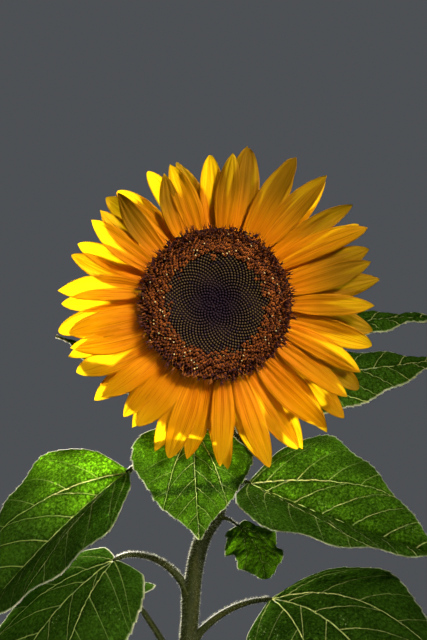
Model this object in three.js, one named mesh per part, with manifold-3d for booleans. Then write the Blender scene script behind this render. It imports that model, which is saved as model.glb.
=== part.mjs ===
// Sunflower in full bloom: the whole plant, from the flat cut at the foot of its stem to
// the tips of its ray florets. Millimetres, +Z up, the flower looks along -Y. The origin
// is the middle of the flat foot of the stem.
import * as THREE from 'three';
import { mergeVertices } from 'three/addons/utils/BufferGeometryUtils.js';
import Module from 'manifold-3d';

const wasm = await Module();
wasm.setup();

// Driving dimensions
const HEAD_X = 72;             // middle of the flower, sideways
const HEAD_Y = -95;            // and how far it nods forward of the foot
const HEAD_HEIGHT = 1500;      // height of its middle above the ground
const HEAD_NOD = 8;            // degrees that the face looks down
const DISC_RADIUS = 70;
const DISC_DOME = 11;
const RECEPTACLE_RADIUS = 58;
const RECEPTACLE_DEPTH = 41;
const RIM_SEGMENTS = 26;
const RAY_COUNT = 55;
const RAY_LENGTH = 84;
const RAY_WIDTH = 22.5;
const RAY_THICKNESS = 1.2;
const RAY_ROOT_RADIUS = 62;
const RAY_SHELTERED = 9;       // length of a ray that lies flat behind the rim of the disc
const RAY_COLLAR = 8;          // width of the ring that the rays of one row grow from
const BRACT_LENGTH = 64;
const BRACT_WIDTH = 17;
const BRACT_THICKNESS = 1.1;
const BRACT_SHELTERED = 4;
const BRACT_COLLAR = 6.5;
const STEM_RADIUS = 8;         // just under the flower
const STEM_FOOT_EXTRA = 6;     // how much stouter the stem is at its foot
const STEM_FLARE = 5;          // root flare on top of that
const STEM_FLARE_HEIGHT = 25;
const STEM_TAPER_HEIGHT = 1300; // where it has thinned to that
const STEM_SPLIT = 1354;       // height where the stem passes into the neck
const STEM_ROWS = 30;
const NECK_ROWS = 14;
const STEM_SIDES = 14;
const STEM_RIBS = 7;
const STEM_RIB_DEPTH = 0.025;  // of its radius
const NECK_TOP_RADIUS = 10.4;
const PETIOLE_BASE_RADIUS = 5;
const PETIOLE_TIP_RADIUS = 2.6;
const PETIOLE_BEND = 0.85;     // share of its length before it turns into the blade's direction
const LEAF_THICKNESS = 0.0125; // of the blade's length
const CLEARANCE = 0.3;         // gap between neighbouring bodies
const NECK_GAP = 0.48;         // between stem and neck, along their line
const PETIOLE_ROOM = 0.32;     // round the stem where the petioles meet it
const GOLDEN_ANGLE = 137.508;

// Points that the middle of the stem runs through, foot to the bend behind the flower.
const STEM_LINE = [
  [0, 0, 0], [0, 0, 60], [5, 0, 320], [21, 0, 860], [44, 0, 1173], [54, 0, 1258],
  [75, 0, 1304], [94, 0, 1354], [97, 3, 1405], [95, 10, 1450], [87, 7, 1485], [79, -13, 1504],
];

// A leaf leaves the stem at a height. Its petiole has a length, a heading (degrees from
// +X towards +Y) and a rise (degrees above level), each at its start and at its end. The
// blade has a length, a width, headings and rises in the same way, a roll about the
// midrib at its base and tip, a fold of its two halves and a depth of the base lobes.
const UPPER_LEAVES = [
  { name: 'front', height: 1402, petiole: [71, -115, -159, 18, -38],
    blade: [107, 117, -97, -62, -52, -82], roll: [-11, 0], fold: 10, lobe: 0.15 },
  { name: 'left_upper', height: 1346, petiole: [110, 181, 191, 6, -4],
    blade: [208, 196, 198, 196, -36, -52], roll: [-23, -33], fold: 34, lobe: 0.04 },
  { name: 'right_upper', height: 1324, petiole: [22, 28, -2, 18, 7],
    blade: [202, 213, -27, -24, -20, -13], roll: [25, 24], fold: 38, lobe: 0.05 },
  { name: 'left_lower', height: 1210, petiole: [98, 178, 194, 74, 2],
    blade: [196, 164, 211, 220, -24, -74], roll: [-6, -22], fold: 8, lobe: 0.15 },
  { name: 'right_lower', height: 1166, petiole: [101, -4, -16, 56, 15],
    blade: [196, 192, -38, -61, 9, -70], roll: [13, 45], fold: 11, lobe: 0.06 },
  { name: 'small', height: 1293, petiole: [28, -15, -30, 10, -30],
    blade: [60, 57, -28, -68, -28, -76], roll: [12, 16], fold: 12, lobe: 0.14, blunt: 0.55 },
  { name: 'right_rear', height: 1410, petiole: [54, 36, 26, 31, 16],
    blade: [200, 94, 12, -3, 11, 6], roll: [51, 39], fold: 10, lobe: 0.13 },
  { name: 'right_top', height: 1434, petiole: [73, 38, 22, 37, 20],
    blade: [196, 66, 15, 0, 31, -7], roll: [29, 36], fold: 11, lobe: 0.13 },
  { name: 'left_rear', height: 1397, petiole: [63, 141, 160, 22, 9],
    blade: [172, 74, 167, 182, 28, 22], roll: [-30, -27], fold: 9, lobe: 0.13 },
  { name: 'left_under', height: 1130, petiole: [102, 170, 151, 66, 42],
    blade: [180, 140, 145, 138, -5, -62], roll: [-10, -10], fold: 10, lobe: 0.13 },
  { name: 'back', height: 1096, petiole: [74, 92, 96, 30, 5],
    blade: [176, 128, 97, 104, -14, -66], roll: [6, -8], fold: 14, lobe: 0.12 },
];

// The lower leaves follow each other down the stem by the golden angle.
const LOWER_LEAVES = 10;
const LOWER_TOP = 1062;
const LOWER_SPACING = 80;
const LOWER_FIRST_HEADING = -62;

const radians = THREE.MathUtils.degToRad;
const mix = THREE.MathUtils.lerp;
const clamp = THREE.MathUtils.clamp;

// An even spread of values from 0 to 1, the same for the same number.
function scatter(n) {
  const value = Math.sin(n * 12.9898 + 4.1) * 43758.5453;
  return value - Math.floor(value);
}

// Closed bodies

// Joins the shared corners, drops triangles without area and turns the faces outward.
function closedBody(geometry) {
  const plain = new THREE.BufferGeometry();
  plain.setAttribute('position', geometry.getAttribute('position').clone());
  if (geometry.index) plain.setIndex(geometry.index.clone());
  const merged = mergeVertices(plain, 1e-3);
  const corners = merged.getAttribute('position');
  const kept = [];
  let volume = 0;
  const a = new THREE.Vector3();
  const b = new THREE.Vector3();
  const c = new THREE.Vector3();
  for (let k = 0; k < merged.index.count; k += 3) {
    const [i, j, l] = [0, 1, 2].map((n) => merged.index.getX(k + n));
    if (i === j || j === l || l === i) continue;
    kept.push(i, j, l);
    a.fromBufferAttribute(corners, i);
    b.fromBufferAttribute(corners, j);
    c.fromBufferAttribute(corners, l);
    volume += a.dot(b.cross(c)) / 6;
  }
  if (volume < 0) {
    for (let k = 0; k < kept.length; k += 3) [kept[k], kept[k + 1]] = [kept[k + 1], kept[k]];
  }
  merged.setIndex(kept);
  return merged;
}

function toSolid(geometry) {
  const body = closedBody(geometry);
  return new wasm.Manifold(new wasm.Mesh({
    numProp: 3,
    vertProperties: new Float32Array(body.getAttribute('position').array),
    triVerts: new Uint32Array(body.index.array),
  }));
}

function fromSolid(solid) {
  const mesh = solid.getMesh();
  const geometry = new THREE.BufferGeometry();
  geometry.setAttribute('position', new THREE.BufferAttribute(mesh.vertProperties, 3));
  geometry.setIndex(new THREE.BufferAttribute(mesh.triVerts, 1));
  return geometry;
}

// Moves every corner of a geometry to where the function puts it.
function reshape(geometry, place) {
  const corners = geometry.getAttribute('position');
  const point = new THREE.Vector3();
  for (let i = 0; i < corners.count; i += 1) {
    point.fromBufferAttribute(corners, i);
    const moved = place(point.x, point.y, point.z);
    corners.setXYZ(i, moved.x, moved.y, moved.z);
  }
  return geometry;
}

// Paths

function direction(heading, rise) {
  const flat = Math.cos(radians(rise));
  return new THREE.Vector3(
    flat * Math.cos(radians(heading)), flat * Math.sin(radians(heading)), Math.sin(radians(rise)));
}

// A path that starts at a point and turns as the two functions of its length say.
function turningPath(start, length, headingAt, riseAt) {
  const steps = 48;
  const points = [start.clone()];
  for (let i = 0; i < steps; i += 1) {
    const f = (i + 0.5) / steps;
    points.push(points[i].clone().addScaledVector(direction(headingAt(f), riseAt(f)), length / steps));
  }
  const at = (f) => {
    const place = clamp(f, 0, 1) * steps;
    const i = Math.min(Math.floor(place), steps - 1);
    return points[i].clone().lerp(points[i + 1], place - i);
  };
  const frame = (f) => {
    const along = direction(headingAt(f), riseAt(f));
    const side = new THREE.Vector3(-Math.sin(radians(headingAt(f))), Math.cos(radians(headingAt(f))), 0);
    return { along, side, up: along.clone().cross(side) };
  };
  return { at, frame };
}

// Stem and neck

const faceOut = new THREE.Vector3(0, -Math.cos(radians(HEAD_NOD)), -Math.sin(radians(HEAD_NOD)));
const faceUp = new THREE.Vector3(0, -Math.sin(radians(HEAD_NOD)), Math.cos(radians(HEAD_NOD)));
const faceRight = new THREE.Vector3(1, 0, 0);
const headMiddle = new THREE.Vector3(HEAD_X, HEAD_Y, HEAD_HEIGHT);
const neckEnd = headMiddle.clone().addScaledVector(faceOut, -RECEPTACLE_DEPTH - CLEARANCE);
const beforeNeckEnd = neckEnd.clone().addScaledVector(faceOut, -20);

const stemLine = new THREE.CatmullRomCurve3(
  [...STEM_LINE.map((p) => new THREE.Vector3(...p)), beforeNeckEnd, neckEnd],
  false, 'catmullrom', 0.5);

// Where along the line, 0 to 1, the stem first reaches a height.
function lineAtHeight(height) {
  let low = 0;
  let high = 0.8;
  for (let k = 0; k < 40; k += 1) {
    const middle = (low + high) / 2;
    if (stemLine.getPoint(middle).z < height) low = middle;
    else high = middle;
  }
  return low;
}

const splitAt = lineAtHeight(STEM_SPLIT);

// Stout at the foot with a flare at the ground, slender under the flower, and widening
// again where the neck runs into the back of the flower.
function stemRadius(f) {
  const height = stemLine.getPoint(f).z;
  const taper = Math.pow(clamp(1 - height / STEM_TAPER_HEIGHT, 0, 1), 1.1) * STEM_FOOT_EXTRA;
  const flare = STEM_FLARE * Math.exp(-height / STEM_FLARE_HEIGHT);
  const swell = Math.pow(clamp((f - splitAt) / (1 - splitAt), 0, 1), 3);
  return mix(STEM_RADIUS + taper + flare, NECK_TOP_RADIUS, swell);
}

// A ribbed tube round the stem's line between two places on it.
function stemTube(from, to, rows, extra) {
  const tube = new THREE.CylinderGeometry(1, 1, 1, STEM_SIDES, rows);
  return reshape(tube, (x, y, z) => {
    const f = mix(from, to, y + 0.5);
    const along = stemLine.getTangent(f);
    const side = faceRight.clone().addScaledVector(along, -along.x).normalize();
    const front = along.clone().cross(side);
    const angle = Math.atan2(z, x);
    const ribs = 1 + STEM_RIB_DEPTH * Math.cos(STEM_RIBS * angle);
    const reach = Math.hypot(x, z) > 0.5 ? stemRadius(f) * ribs + extra : 0;
    return stemLine.getPoint(f)
      .addScaledVector(side, reach * Math.cos(angle))
      .addScaledVector(front, reach * Math.sin(angle));
  });
}

// Leaves

// Half-width of a blade along its length, from 0 to 1 of its widest. A blunt blade stays
// wide nearer to its tip.
function bladeSwell(s, blunt = 0) {
  const opening = 1 - Math.exp(-Math.pow(s / 0.13, 1.4));
  return opening * Math.pow(1 - Math.pow(s, 2.2), 1.15 - blunt) / 0.889;
}

function leafPaths(leaf) {
  const [stalk, heading0, heading1, rise0, rise1] = leaf.petiole;
  const [length, , bladeHeading0, bladeHeading1, bladeRise0, bladeRise1] = leaf.blade;
  const turn = (first, last, next) => (f) => (f < PETIOLE_BEND
    ? mix(first, last, f / PETIOLE_BEND)
    : mix(last, next, (f - PETIOLE_BEND) / (1 - PETIOLE_BEND)));
  const start = stemLine.getPoint(lineAtHeight(leaf.height));
  const petiole = turningPath(
    start, stalk, turn(heading0, heading1, bladeHeading0), turn(rise0, rise1, bladeRise0));
  const base = petiole.at(1).addScaledVector(direction(bladeHeading0, bladeRise0), CLEARANCE);
  const midrib = turningPath(
    base, length, (f) => mix(bladeHeading0, bladeHeading1, f), (f) => mix(bladeRise0, bladeRise1, f));
  return { petiole, midrib };
}

// A round stalk that thins from the stem to the blade.
function petioleTube(path, scale) {
  const tube = new THREE.CylinderGeometry(1, 1, 1, 6, 7);
  return reshape(tube, (x, y, z) => {
    const f = y + 0.5;
    const { side, up } = path.frame(f);
    const radius = scale * mix(PETIOLE_TIP_RADIUS, PETIOLE_BASE_RADIUS, Math.pow(1 - f, 1.6));
    return path.at(f).addScaledVector(side, radius * x).addScaledVector(up, radius * z);
  });
}

// A heart-shaped blade: two halves that rise from the midrib by the fold and droop again
// at the margin, with lobes that reach back past the petiole.
function leafBlade(leaf, path, across, along) {
  const [length, width] = leaf.blade;
  const slab = new THREE.BoxGeometry(1, 1, 1, across, 1, along);
  const fold = radians(leaf.fold);
  return reshape(slab, (x, y, z) => {
    const s = Math.pow(clamp(z + 0.5, 0, 1), 1.4);
    const t = Math.sign(x) * Math.pow(Math.abs(2 * x), 1.15);
    const swell = bladeSwell(s, leaf.blunt);
    const half = width / 2 * swell + 1.6;
    const outer = Math.pow(Math.max(0, (Math.abs(t) - 0.2) / 0.8), 1.2);
    const back = length * leaf.lobe * outer * Math.pow(1 - s, 3) * Math.min(1, 2 * swell);
    const lift = half * (Math.abs(t) * Math.sin(fold) - 0.3 * t * t);
    const { along: ahead, side, up } = path.frame(clamp(s, 0.02, 0.98));
    const roll = radians(mix(leaf.roll[0], leaf.roll[1], s));
    const sideways = side.clone().multiplyScalar(Math.cos(roll)).addScaledVector(up, Math.sin(roll));
    const upward = up.clone().multiplyScalar(Math.cos(roll)).addScaledVector(side, -Math.sin(roll));
    return path.at(s)
      .addScaledVector(sideways, half * t * Math.cos(fold))
      .addScaledVector(ahead, -back)
      .addScaledVector(upward, lift + y * length * LEAF_THICKNESS);
  });
}

function lowerLeaf(k) {
  const heading = LOWER_FIRST_HEADING + k * GOLDEN_ANGLE;
  const age = k / (LOWER_LEAVES - 1);
  const size = 196 + 44 * Math.sin(Math.PI * (0.15 + 0.7 * age)) + 14 * (scatter(k) - 0.5);
  return {
    name: `lower_${k + 1}`,
    height: LOWER_TOP - LOWER_SPACING * k,
    petiole: [92 + 26 * scatter(k + 20), heading, heading + 8, 46 - 10 * age, 6 - 14 * age],
    blade: [size, size * 0.82, heading + 6, heading + 22 * (scatter(k + 40) - 0.5),
      -12 - 14 * age, -58 - 14 * age],
    roll: [10 * (scatter(k + 60) - 0.5), 16 * (scatter(k + 80) - 0.5)],
    fold: 10 + 6 * scatter(k + 90),
    lobe: 0.12,
  };
}

// Flower. In its own frame X is right, Y is up its face and Z comes out of it.

// A body turned about Z from a profile of radii and heights.
function turned(profile, segments) {
  const lathe = new THREE.LatheGeometry(profile.map((p) => new THREE.Vector2(...p)), segments);
  return lathe.rotateX(Math.PI / 2);
}

// The ring round the receptacle that the rays or bracts of one row grow from.
function collar(width, row) {
  const inner = RECEPTACLE_RADIUS + CLEARANCE;
  const outer = RECEPTACLE_RADIUS + width;
  return turned(
    [[inner, row.back], [outer, row.back], [outer, row.front], [inner, row.front], [inner, row.back]],
    RIM_SEGMENTS);
}

// Half-width of a ray along its length, from 0 to 1 of its widest. A blunt ray stays wide
// nearer to its tip.
function raySwell(s, blunt) {
  const opening = 1 - Math.exp(-(s + 0.1) / 0.28);
  return opening * Math.pow(1 - Math.pow(s, 4.5), 1 - blunt) / 0.86;
}

function bractSwell(s) {
  return Math.pow(1 - s, 0.9) * (0.75 + 0.9 * s) + 0.03;
}

// A long thin blade that grows outward from the rim of the flower. It keeps low until it
// clears the disc, leans forward by its cup angle, and its tip reflexes.
function outgrowth(part) {
  const slab = new THREE.BoxGeometry(1, 1, 1, 2, 1, part.rows);
  const angle = radians(part.angle);
  const outward = new THREE.Vector3(Math.cos(angle), Math.sin(angle), 0);
  const aside = new THREE.Vector3(-Math.sin(angle), Math.cos(angle), 0);
  const roll = radians(part.roll);
  const cup = Math.tan(radians(part.cup));
  return reshape(slab, (x, y, z) => {
    const s = 1 - Math.pow(1 - clamp(z + 0.5, 0, 1), 1.25);
    const reach = part.length * s;
    const half = Math.max(part.width / 2 * part.swell(s), 0.5);
    const free = Math.max(0, reach - part.sheltered);
    const rise = part.depth + cup * free - part.reflex * s * s * s;
    const hollow = part.arch * half * (4 * x * x - 1);
    const across = 2 * x * half;
    return new THREE.Vector3(0, 0, rise + hollow + y * part.thickness)
      .addScaledVector(outward, part.root + reach)
      .addScaledVector(aside, across * Math.cos(roll * s) + part.sway * s * s)
      .add(new THREE.Vector3(0, 0, across * Math.sin(roll * s)));
  });
}

// The flower isn't quite round: its rays reach furthest to the right and low down.
function uneven(angle) {
  return 0.05 * Math.cos(radians(angle + 20)) - 0.035 * Math.cos(3 * radians(angle - 110));
}

function rayFloret(i, row) {
  const angle = i * GOLDEN_ANGLE + 12;
  return outgrowth({
    rows: 6,
    root: RAY_ROOT_RADIUS,
    angle,
    length: RAY_LENGTH * (row.reach + 1.8 * uneven(angle) + 0.12 * (scatter(i) - 0.5)),
    width: RAY_WIDTH * (0.9 + 0.24 * scatter(i + 100)),
    thickness: RAY_THICKNESS,
    depth: (row.back + row.front) / 2,
    cup: row.cup + 3 * (scatter(i + 200) - 0.5),
    sheltered: RAY_SHELTERED,
    reflex: 4 * scatter(i + 300),
    arch: 0.13,
    roll: 30 * (scatter(i + 400) - 0.5),
    sway: 30 * (scatter(i + 500) - 0.5),
    swell: (s) => raySwell(s, 0.5 * scatter(i + 600)),
  });
}

function bract(i, count, row) {
  return outgrowth({
    rows: 3,
    root: RAY_ROOT_RADIUS,
    angle: row.first + i * 360 / count,
    length: BRACT_LENGTH * (i === 0 ? row.longest : 0.86 + 0.22 * scatter(i + row.first)),
    width: BRACT_WIDTH * (0.92 + 0.16 * scatter(i + 31)),
    thickness: BRACT_THICKNESS,
    depth: (row.back + row.front) / 2,
    cup: row.cup - 5 * scatter(i + 61),
    sheltered: BRACT_SHELTERED,
    reflex: 3 * scatter(i + 71),
    arch: 0.1,
    roll: 8 * (scatter(i + 81) - 0.5),
    sway: 6 * (scatter(i + 91) - 0.5),
    swell: bractSwell,
  });
}

const RAY_ROWS = {
  front: { first: 0, last: 21, front: -0.3, back: -3.1, cup: 13, reach: 0.96 },
  middle: { first: 21, last: 42, front: -3.4, back: -6.2, cup: 7.5, reach: 1.0 },
  back: { first: 42, last: RAY_COUNT, front: -6.5, back: -9.3, cup: 2.5, reach: 1.04 },
};
const BRACT_ROWS = {
  inner: { count: 21, first: 91.5, front: -9.7, back: -13, cup: -4, longest: 1.18 },
  outer: { count: 13, first: 103.4, front: -13.4, back: -17, cup: -15, longest: 0.98 },
};

function joined(pieces) {
  return fromSolid(pieces.map(toSolid).reduce((whole, piece) => whole.add(piece)));
}

// Colours
const greenStem = { color: 0x5c6b2c, roughness: 0.72, metalness: 0 };
const greenLeaf = { color: 0x2f5a16, roughness: 0.55, metalness: 0 };
const greenBract = { color: 0x3f5a1e, roughness: 0.7, metalness: 0 };
const goldenRay = { color: 0xf29a06, roughness: 0.5, metalness: 0 };
const brownDisc = { color: 0x4a2412, roughness: 0.85, metalness: 0 };

function named(name, geometry, look) {
  const mesh = new THREE.Mesh(closedBody(geometry), new THREE.MeshStandardMaterial(look));
  mesh.name = name;
  return mesh;
}

// The plant
const group = new THREE.Group();

const lineLength = stemLine.getLength();
const neckStart = splitAt + NECK_GAP / lineLength;
group.add(named('stem', stemTube(0, splitAt, STEM_ROWS, 0), greenStem));
group.add(named('neck', stemTube(neckStart, 1, NECK_ROWS, 0), greenStem));

const stemRoom = toSolid(stemTube(0, splitAt, STEM_ROWS, PETIOLE_ROOM))
  .add(toSolid(stemTube(splitAt - 0.002, 1, NECK_ROWS, PETIOLE_ROOM)));

const leaves = [...UPPER_LEAVES, ...Array.from({ length: LOWER_LEAVES }, (_, k) => lowerLeaf(k))];
leaves.forEach((leaf) => {
  const { petiole, midrib } = leafPaths(leaf);
  const size = clamp(leaf.blade[0] / 190, 0.5, 1.1);
  const stalk = toSolid(petioleTube(petiole, size)).subtract(stemRoom);
  group.add(named(`petiole_${leaf.name}`, fromSolid(stalk), greenStem));
  const isLower = leaf.name.startsWith('lower');
  const blade = leafBlade(leaf, midrib, isLower ? 4 : 6, isLower ? 6 : 8);
  group.add(named(`leaf_${leaf.name}`, blade, greenLeaf));
});

const head = new THREE.Group();
head.position.copy(headMiddle);
head.quaternion.setFromRotationMatrix(new THREE.Matrix4().makeBasis(faceRight, faceUp, faceOut));
group.add(head);

head.add(named('disc', turned([
  [0, 0], [DISC_RADIUS, 0], [DISC_RADIUS, 3.4], [DISC_RADIUS - 4, 7.4],
  [DISC_RADIUS * 0.72, DISC_DOME], [DISC_RADIUS * 0.4, DISC_DOME - 0.6], [0, DISC_DOME - 2.4],
], 36), brownDisc));

head.add(named('receptacle', turned([
  [0, -0.3], [RECEPTACLE_RADIUS, -0.3], [RECEPTACLE_RADIUS, -17.3], [RECEPTACLE_RADIUS * 0.9, -24],
  [RECEPTACLE_RADIUS * 0.66, -32], [RECEPTACLE_RADIUS * 0.36, -38],
  [NECK_TOP_RADIUS, -RECEPTACLE_DEPTH], [0, -RECEPTACLE_DEPTH],
], RIM_SEGMENTS), greenBract));

Object.entries(RAY_ROWS).forEach(([name, row]) => {
  const pieces = [collar(RAY_COLLAR, row)];
  for (let i = row.first; i < row.last; i += 1) pieces.push(rayFloret(i, row));
  head.add(named(`rays_${name}`, joined(pieces), goldenRay));
});

Object.entries(BRACT_ROWS).forEach(([name, row]) => {
  const pieces = [collar(BRACT_COLLAR, row)];
  for (let i = 0; i < row.count; i += 1) pieces.push(bract(i, row.count, row));
  head.add(named(`bracts_${name}`, joined(pieces), greenBract));
});

export default group;
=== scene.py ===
import math

import bpy
import numpy as np
from mathutils import Matrix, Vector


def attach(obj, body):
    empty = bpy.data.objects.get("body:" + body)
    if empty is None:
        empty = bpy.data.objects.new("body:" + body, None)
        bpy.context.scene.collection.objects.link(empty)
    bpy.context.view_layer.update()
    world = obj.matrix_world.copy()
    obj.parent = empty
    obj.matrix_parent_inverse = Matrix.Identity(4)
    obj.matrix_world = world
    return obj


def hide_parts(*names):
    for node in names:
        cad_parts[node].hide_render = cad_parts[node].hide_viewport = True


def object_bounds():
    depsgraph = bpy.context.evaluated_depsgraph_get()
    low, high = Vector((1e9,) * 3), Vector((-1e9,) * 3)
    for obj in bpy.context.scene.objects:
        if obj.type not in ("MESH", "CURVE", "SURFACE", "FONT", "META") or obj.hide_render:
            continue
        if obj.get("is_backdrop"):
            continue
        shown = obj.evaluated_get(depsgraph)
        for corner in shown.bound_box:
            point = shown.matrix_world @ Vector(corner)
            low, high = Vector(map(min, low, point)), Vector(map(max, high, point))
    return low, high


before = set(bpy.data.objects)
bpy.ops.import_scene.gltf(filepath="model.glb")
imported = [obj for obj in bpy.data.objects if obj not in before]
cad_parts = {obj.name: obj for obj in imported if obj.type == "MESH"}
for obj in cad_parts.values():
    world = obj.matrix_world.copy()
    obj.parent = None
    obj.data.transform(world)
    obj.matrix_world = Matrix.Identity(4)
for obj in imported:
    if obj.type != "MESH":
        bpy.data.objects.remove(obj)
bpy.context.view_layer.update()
print("frame loaded:", len(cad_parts), "nodes")

# A sunflower in bloom. Lengths are millimetres until writeMesh turns them into metres.
metre = 0.001
goldenAngle = 137.508

flower = {
    "middle": (72, -95, 1500),  # where the face of the flower has its middle
    "nod": 8,                   # degrees that the face looks down
    "discRadius": 70,
    "receptacleDepth": 41,
    "root": 62,                 # rays and bracts start this far from the middle
}


# Small sums that everything uses

def scatter(n):
    # fract(43758.5453 sin(12.9898 n + 4.1)), an even spread of values from 0 to 1
    value = np.sin(np.asarray(n, float) * 12.9898 + 4.1) * 43758.5453
    return value - np.floor(value)


def jitter(n, width):
    # an even spread of values from -width / 2 to width / 2
    return width * (scatter(n) - 0.5)


def wildWays(count):
    # a way for each hair to lean, every number from -0.5 to 0.5
    return np.stack([jitter(np.arange(count) * 3 + k, 1) for k in range(3)], -1)


def mix(a, b, f):
    return a + (b - a) * f


def smooth(low, high, value):
    # 3f^2 - 2f^3 with f running from 0 at low to 1 at high
    f = np.clip((value - low) / (high - low), 0, 1)
    return f * f * (3 - 2 * f)


def unit(v):
    return v / np.maximum(np.linalg.norm(v, axis=-1, keepdims=True), 1e-9)


def between(at, knots, rows):
    # the rows that belong to the knots, interpolated column by column
    return np.stack([np.interp(at, knots, column) for column in rows.T], -1)


def turns(sides):
    # the angles of the corners of a ring
    return np.arange(sides) * 2 * math.pi / sides


def spoke(aside, upward, turn):
    # aside cos(turn) + upward sin(turn)
    return aside * np.cos(turn)[..., None] + upward * np.sin(turn)[..., None]


def together(*values):
    # one array from three, with x, y and z last
    return np.stack(np.broadcast_arrays(*values), -1)


def aroundZ(radius, turn, height):
    return together(radius * np.cos(turn), radius * np.sin(turn), height)


def cellGap(x, y, seed):
    # second least minus least distance to one jittered point in each unit square
    column, row = np.floor(x), np.floor(y)
    nearest, second = np.full(x.shape, 9.0), np.full(x.shape, 9.0)
    for i in (-1, 0, 1):
        for j in (-1, 0, 1):
            c, r = column + i, row + j
            key = c * 57 + r * 131 + seed
            gap = np.hypot(c + scatter(key) - x, r + scatter(key + 17.3) - y)
            second = np.minimum(second, np.maximum(nearest, gap))
            nearest = np.minimum(nearest, gap)
    return second - nearest


# Meshes. A part is a dictionary: points (n, 3), faces and uv as lists of arrays with one
# count of corners each, fields with a vector for each point, and a material number.

def turnOutward(part):
    # reverses the faces where the signed volume, the sum of a . (b x c) / 6, is negative
    volume = 0
    for faces in part["faces"]:
        corner = part["points"][faces]
        volume += (corner[:, :1] * np.cross(corner[:, 1:-1], corner[:, 2:])).sum()
    if volume < 0:
        for key in ("faces", "uv"):
            part[key] = [values[:, ::-1] for values in part[key]]
    return part


def addObject(name, data):
    made = bpy.data.objects.new(name, data)
    bpy.context.scene.collection.objects.link(made)
    return made


def writeMesh(name, parts, materials):
    corners, totals, uvs, numbers, first = [], [], [], [], 0
    for part in parts:
        for faces, uv in zip(part["faces"], part["uv"]):
            corners.append((faces + first).ravel())
            totals.append(np.full(len(faces), faces.shape[1]))
            uvs.append(uv.reshape(-1, 2))
            numbers.append(np.full(len(faces), part["material"]))
        first += len(part["points"])
    points = np.concatenate([part["points"] for part in parts]) * metre
    corners, totals = np.concatenate(corners), np.concatenate(totals)
    mesh = bpy.data.meshes.new(name)
    mesh.vertices.add(len(points))
    mesh.vertices.foreach_set("co", points.astype(np.float32).ravel())
    mesh.loops.add(len(corners))
    mesh.loops.foreach_set("vertex_index", corners.astype(np.int32))
    mesh.polygons.add(len(totals))
    mesh.polygons.foreach_set("loop_start", (np.cumsum(totals) - totals).astype(np.int32))
    mesh.polygons.foreach_set("material_index", np.concatenate(numbers).astype(np.int32))
    mesh.polygons.foreach_set("use_smooth", np.ones(len(totals), bool))
    layer = mesh.uv_layers.new(name="OFBake")
    layer.data.foreach_set("uv", np.concatenate(uvs).astype(np.float32).ravel())
    for field in sorted({key for part in parts for key in part["fields"]}):
        values = [part["fields"].get(field, np.zeros((len(part["points"]), 3))) for part in parts]
        store = mesh.attributes.new(field, "FLOAT_VECTOR", "POINT")
        store.data.foreach_set("vector", np.concatenate(values).astype(np.float32).ravel())
    mesh.update()
    for material in materials:
        mesh.materials.append(material)
    return addObject(name, mesh)


def addPiece(name, parts, materials, slot, *nodes):
    # builds a piece and sets it in the place of its solids
    piece = writeMesh(name, parts, materials)
    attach(piece, "root")
    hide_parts(*nodes)


def mapCells(count, columns, low=0.0, high=1.0):
    # left, low, width and height of count cells in one band of the map, row by row
    n = np.arange(count)
    height = (high - low) / math.ceil(count / columns)
    return np.stack([n % columns / columns, low + n // columns * height,
                     np.full(count, 1 / columns), np.full(count, height)], -1)


def bodies(points, faces, uv, cells, fields, material):
    # the faces and the map of one body, repeated for all of them with one map cell for each
    starts = np.arange(len(cells))[:, None, None] * (len(points) // len(cells))
    sizes, lows = cells[:, None, None, 2:], cells[:, None, None, :2]
    return turnOutward({
        "points": points, "fields": fields, "material": material,
        "faces": [(one[None] + starts).reshape(-1, one.shape[1]) for one in faces],
        "uv": [(one[None] * sizes + lows).reshape(-1, *one.shape[1:]) for one in uv]})


quadCorners = ((0, 0), (1, 0), (1, 1), (0, 1))


def bothSides(toneAndLight, other):
    # (1, tone, other) for the upper side of a shell and (0, tone, other) for the lower one; the tone is
    # partly painted light and shade
    return [together(up, toneAndLight, other) for up in (1, 0)]


def quadMap(u, v, k, r, corners=quadCorners):
    # the map of quads that have a corner at u[k + i], v[r + j] for each (i, j) of the corners
    return np.stack([np.stack([u[k + i], v[r + j]], -1) for i, j in corners], 1)


def ringQuads(u, v):
    # Quads between the closed rings of a tube, and their map. u and v say where its columns
    # and rows lie on the map; u ends with one more value, for the first column come round.
    around, rows = len(u) - 1, len(v)
    r, k = [a.ravel() for a in np.meshgrid(np.arange(rows - 1), np.arange(around), indexing="ij")]
    faces = np.stack([(r + j) * around + (k + i) % around for i, j in quadCorners], -1)
    return faces, quadMap(u, v, k, r)


def shells(top, bottom, acrossAt, alongAt, cells, fields):
    # Thin closed bodies (count, rows, columns, 3), each ring over the top and back underneath.
    # acrossAt (-1 to 1) and alongAt (0 to 1) say where columns and rows lie on the map.
    rows, columns = top.shape[1:3]
    around = 2 * columns
    u = np.concatenate([0.25 + 0.24 * acrossAt, 0.75 - 0.24 * acrossAt[::-1], [0.999]])
    quads, wall = ringQuads(u, 0.03 + 0.94 * alongAt)
    c = np.arange(columns - 1)
    under = around - 1 - c
    foot = np.stack([c, under, under - 1, c + 1], -1)
    tip = np.stack([c, c + 1, under - 1, under], -1) + (rows - 1) * around
    footMap = quadMap(u, np.array([0.008, 0.025]), c, 0 * c, ((0, 1), (0, 0), (1, 0), (1, 1)))
    tipMap = quadMap(u, np.array([0.975, 0.992]), c, 0 * c)

    def wrapped(above, below):
        return np.concatenate([above, below[:, :, ::-1]], 2).reshape(-1, 3)

    return bodies(wrapped(top, bottom), [np.concatenate([quads, foot, tip])],
                  [np.concatenate([wall, footMap, tipMap])], cells,
                  {key: wrapped(*value) for key, value in fields.items()}, 0)


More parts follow.
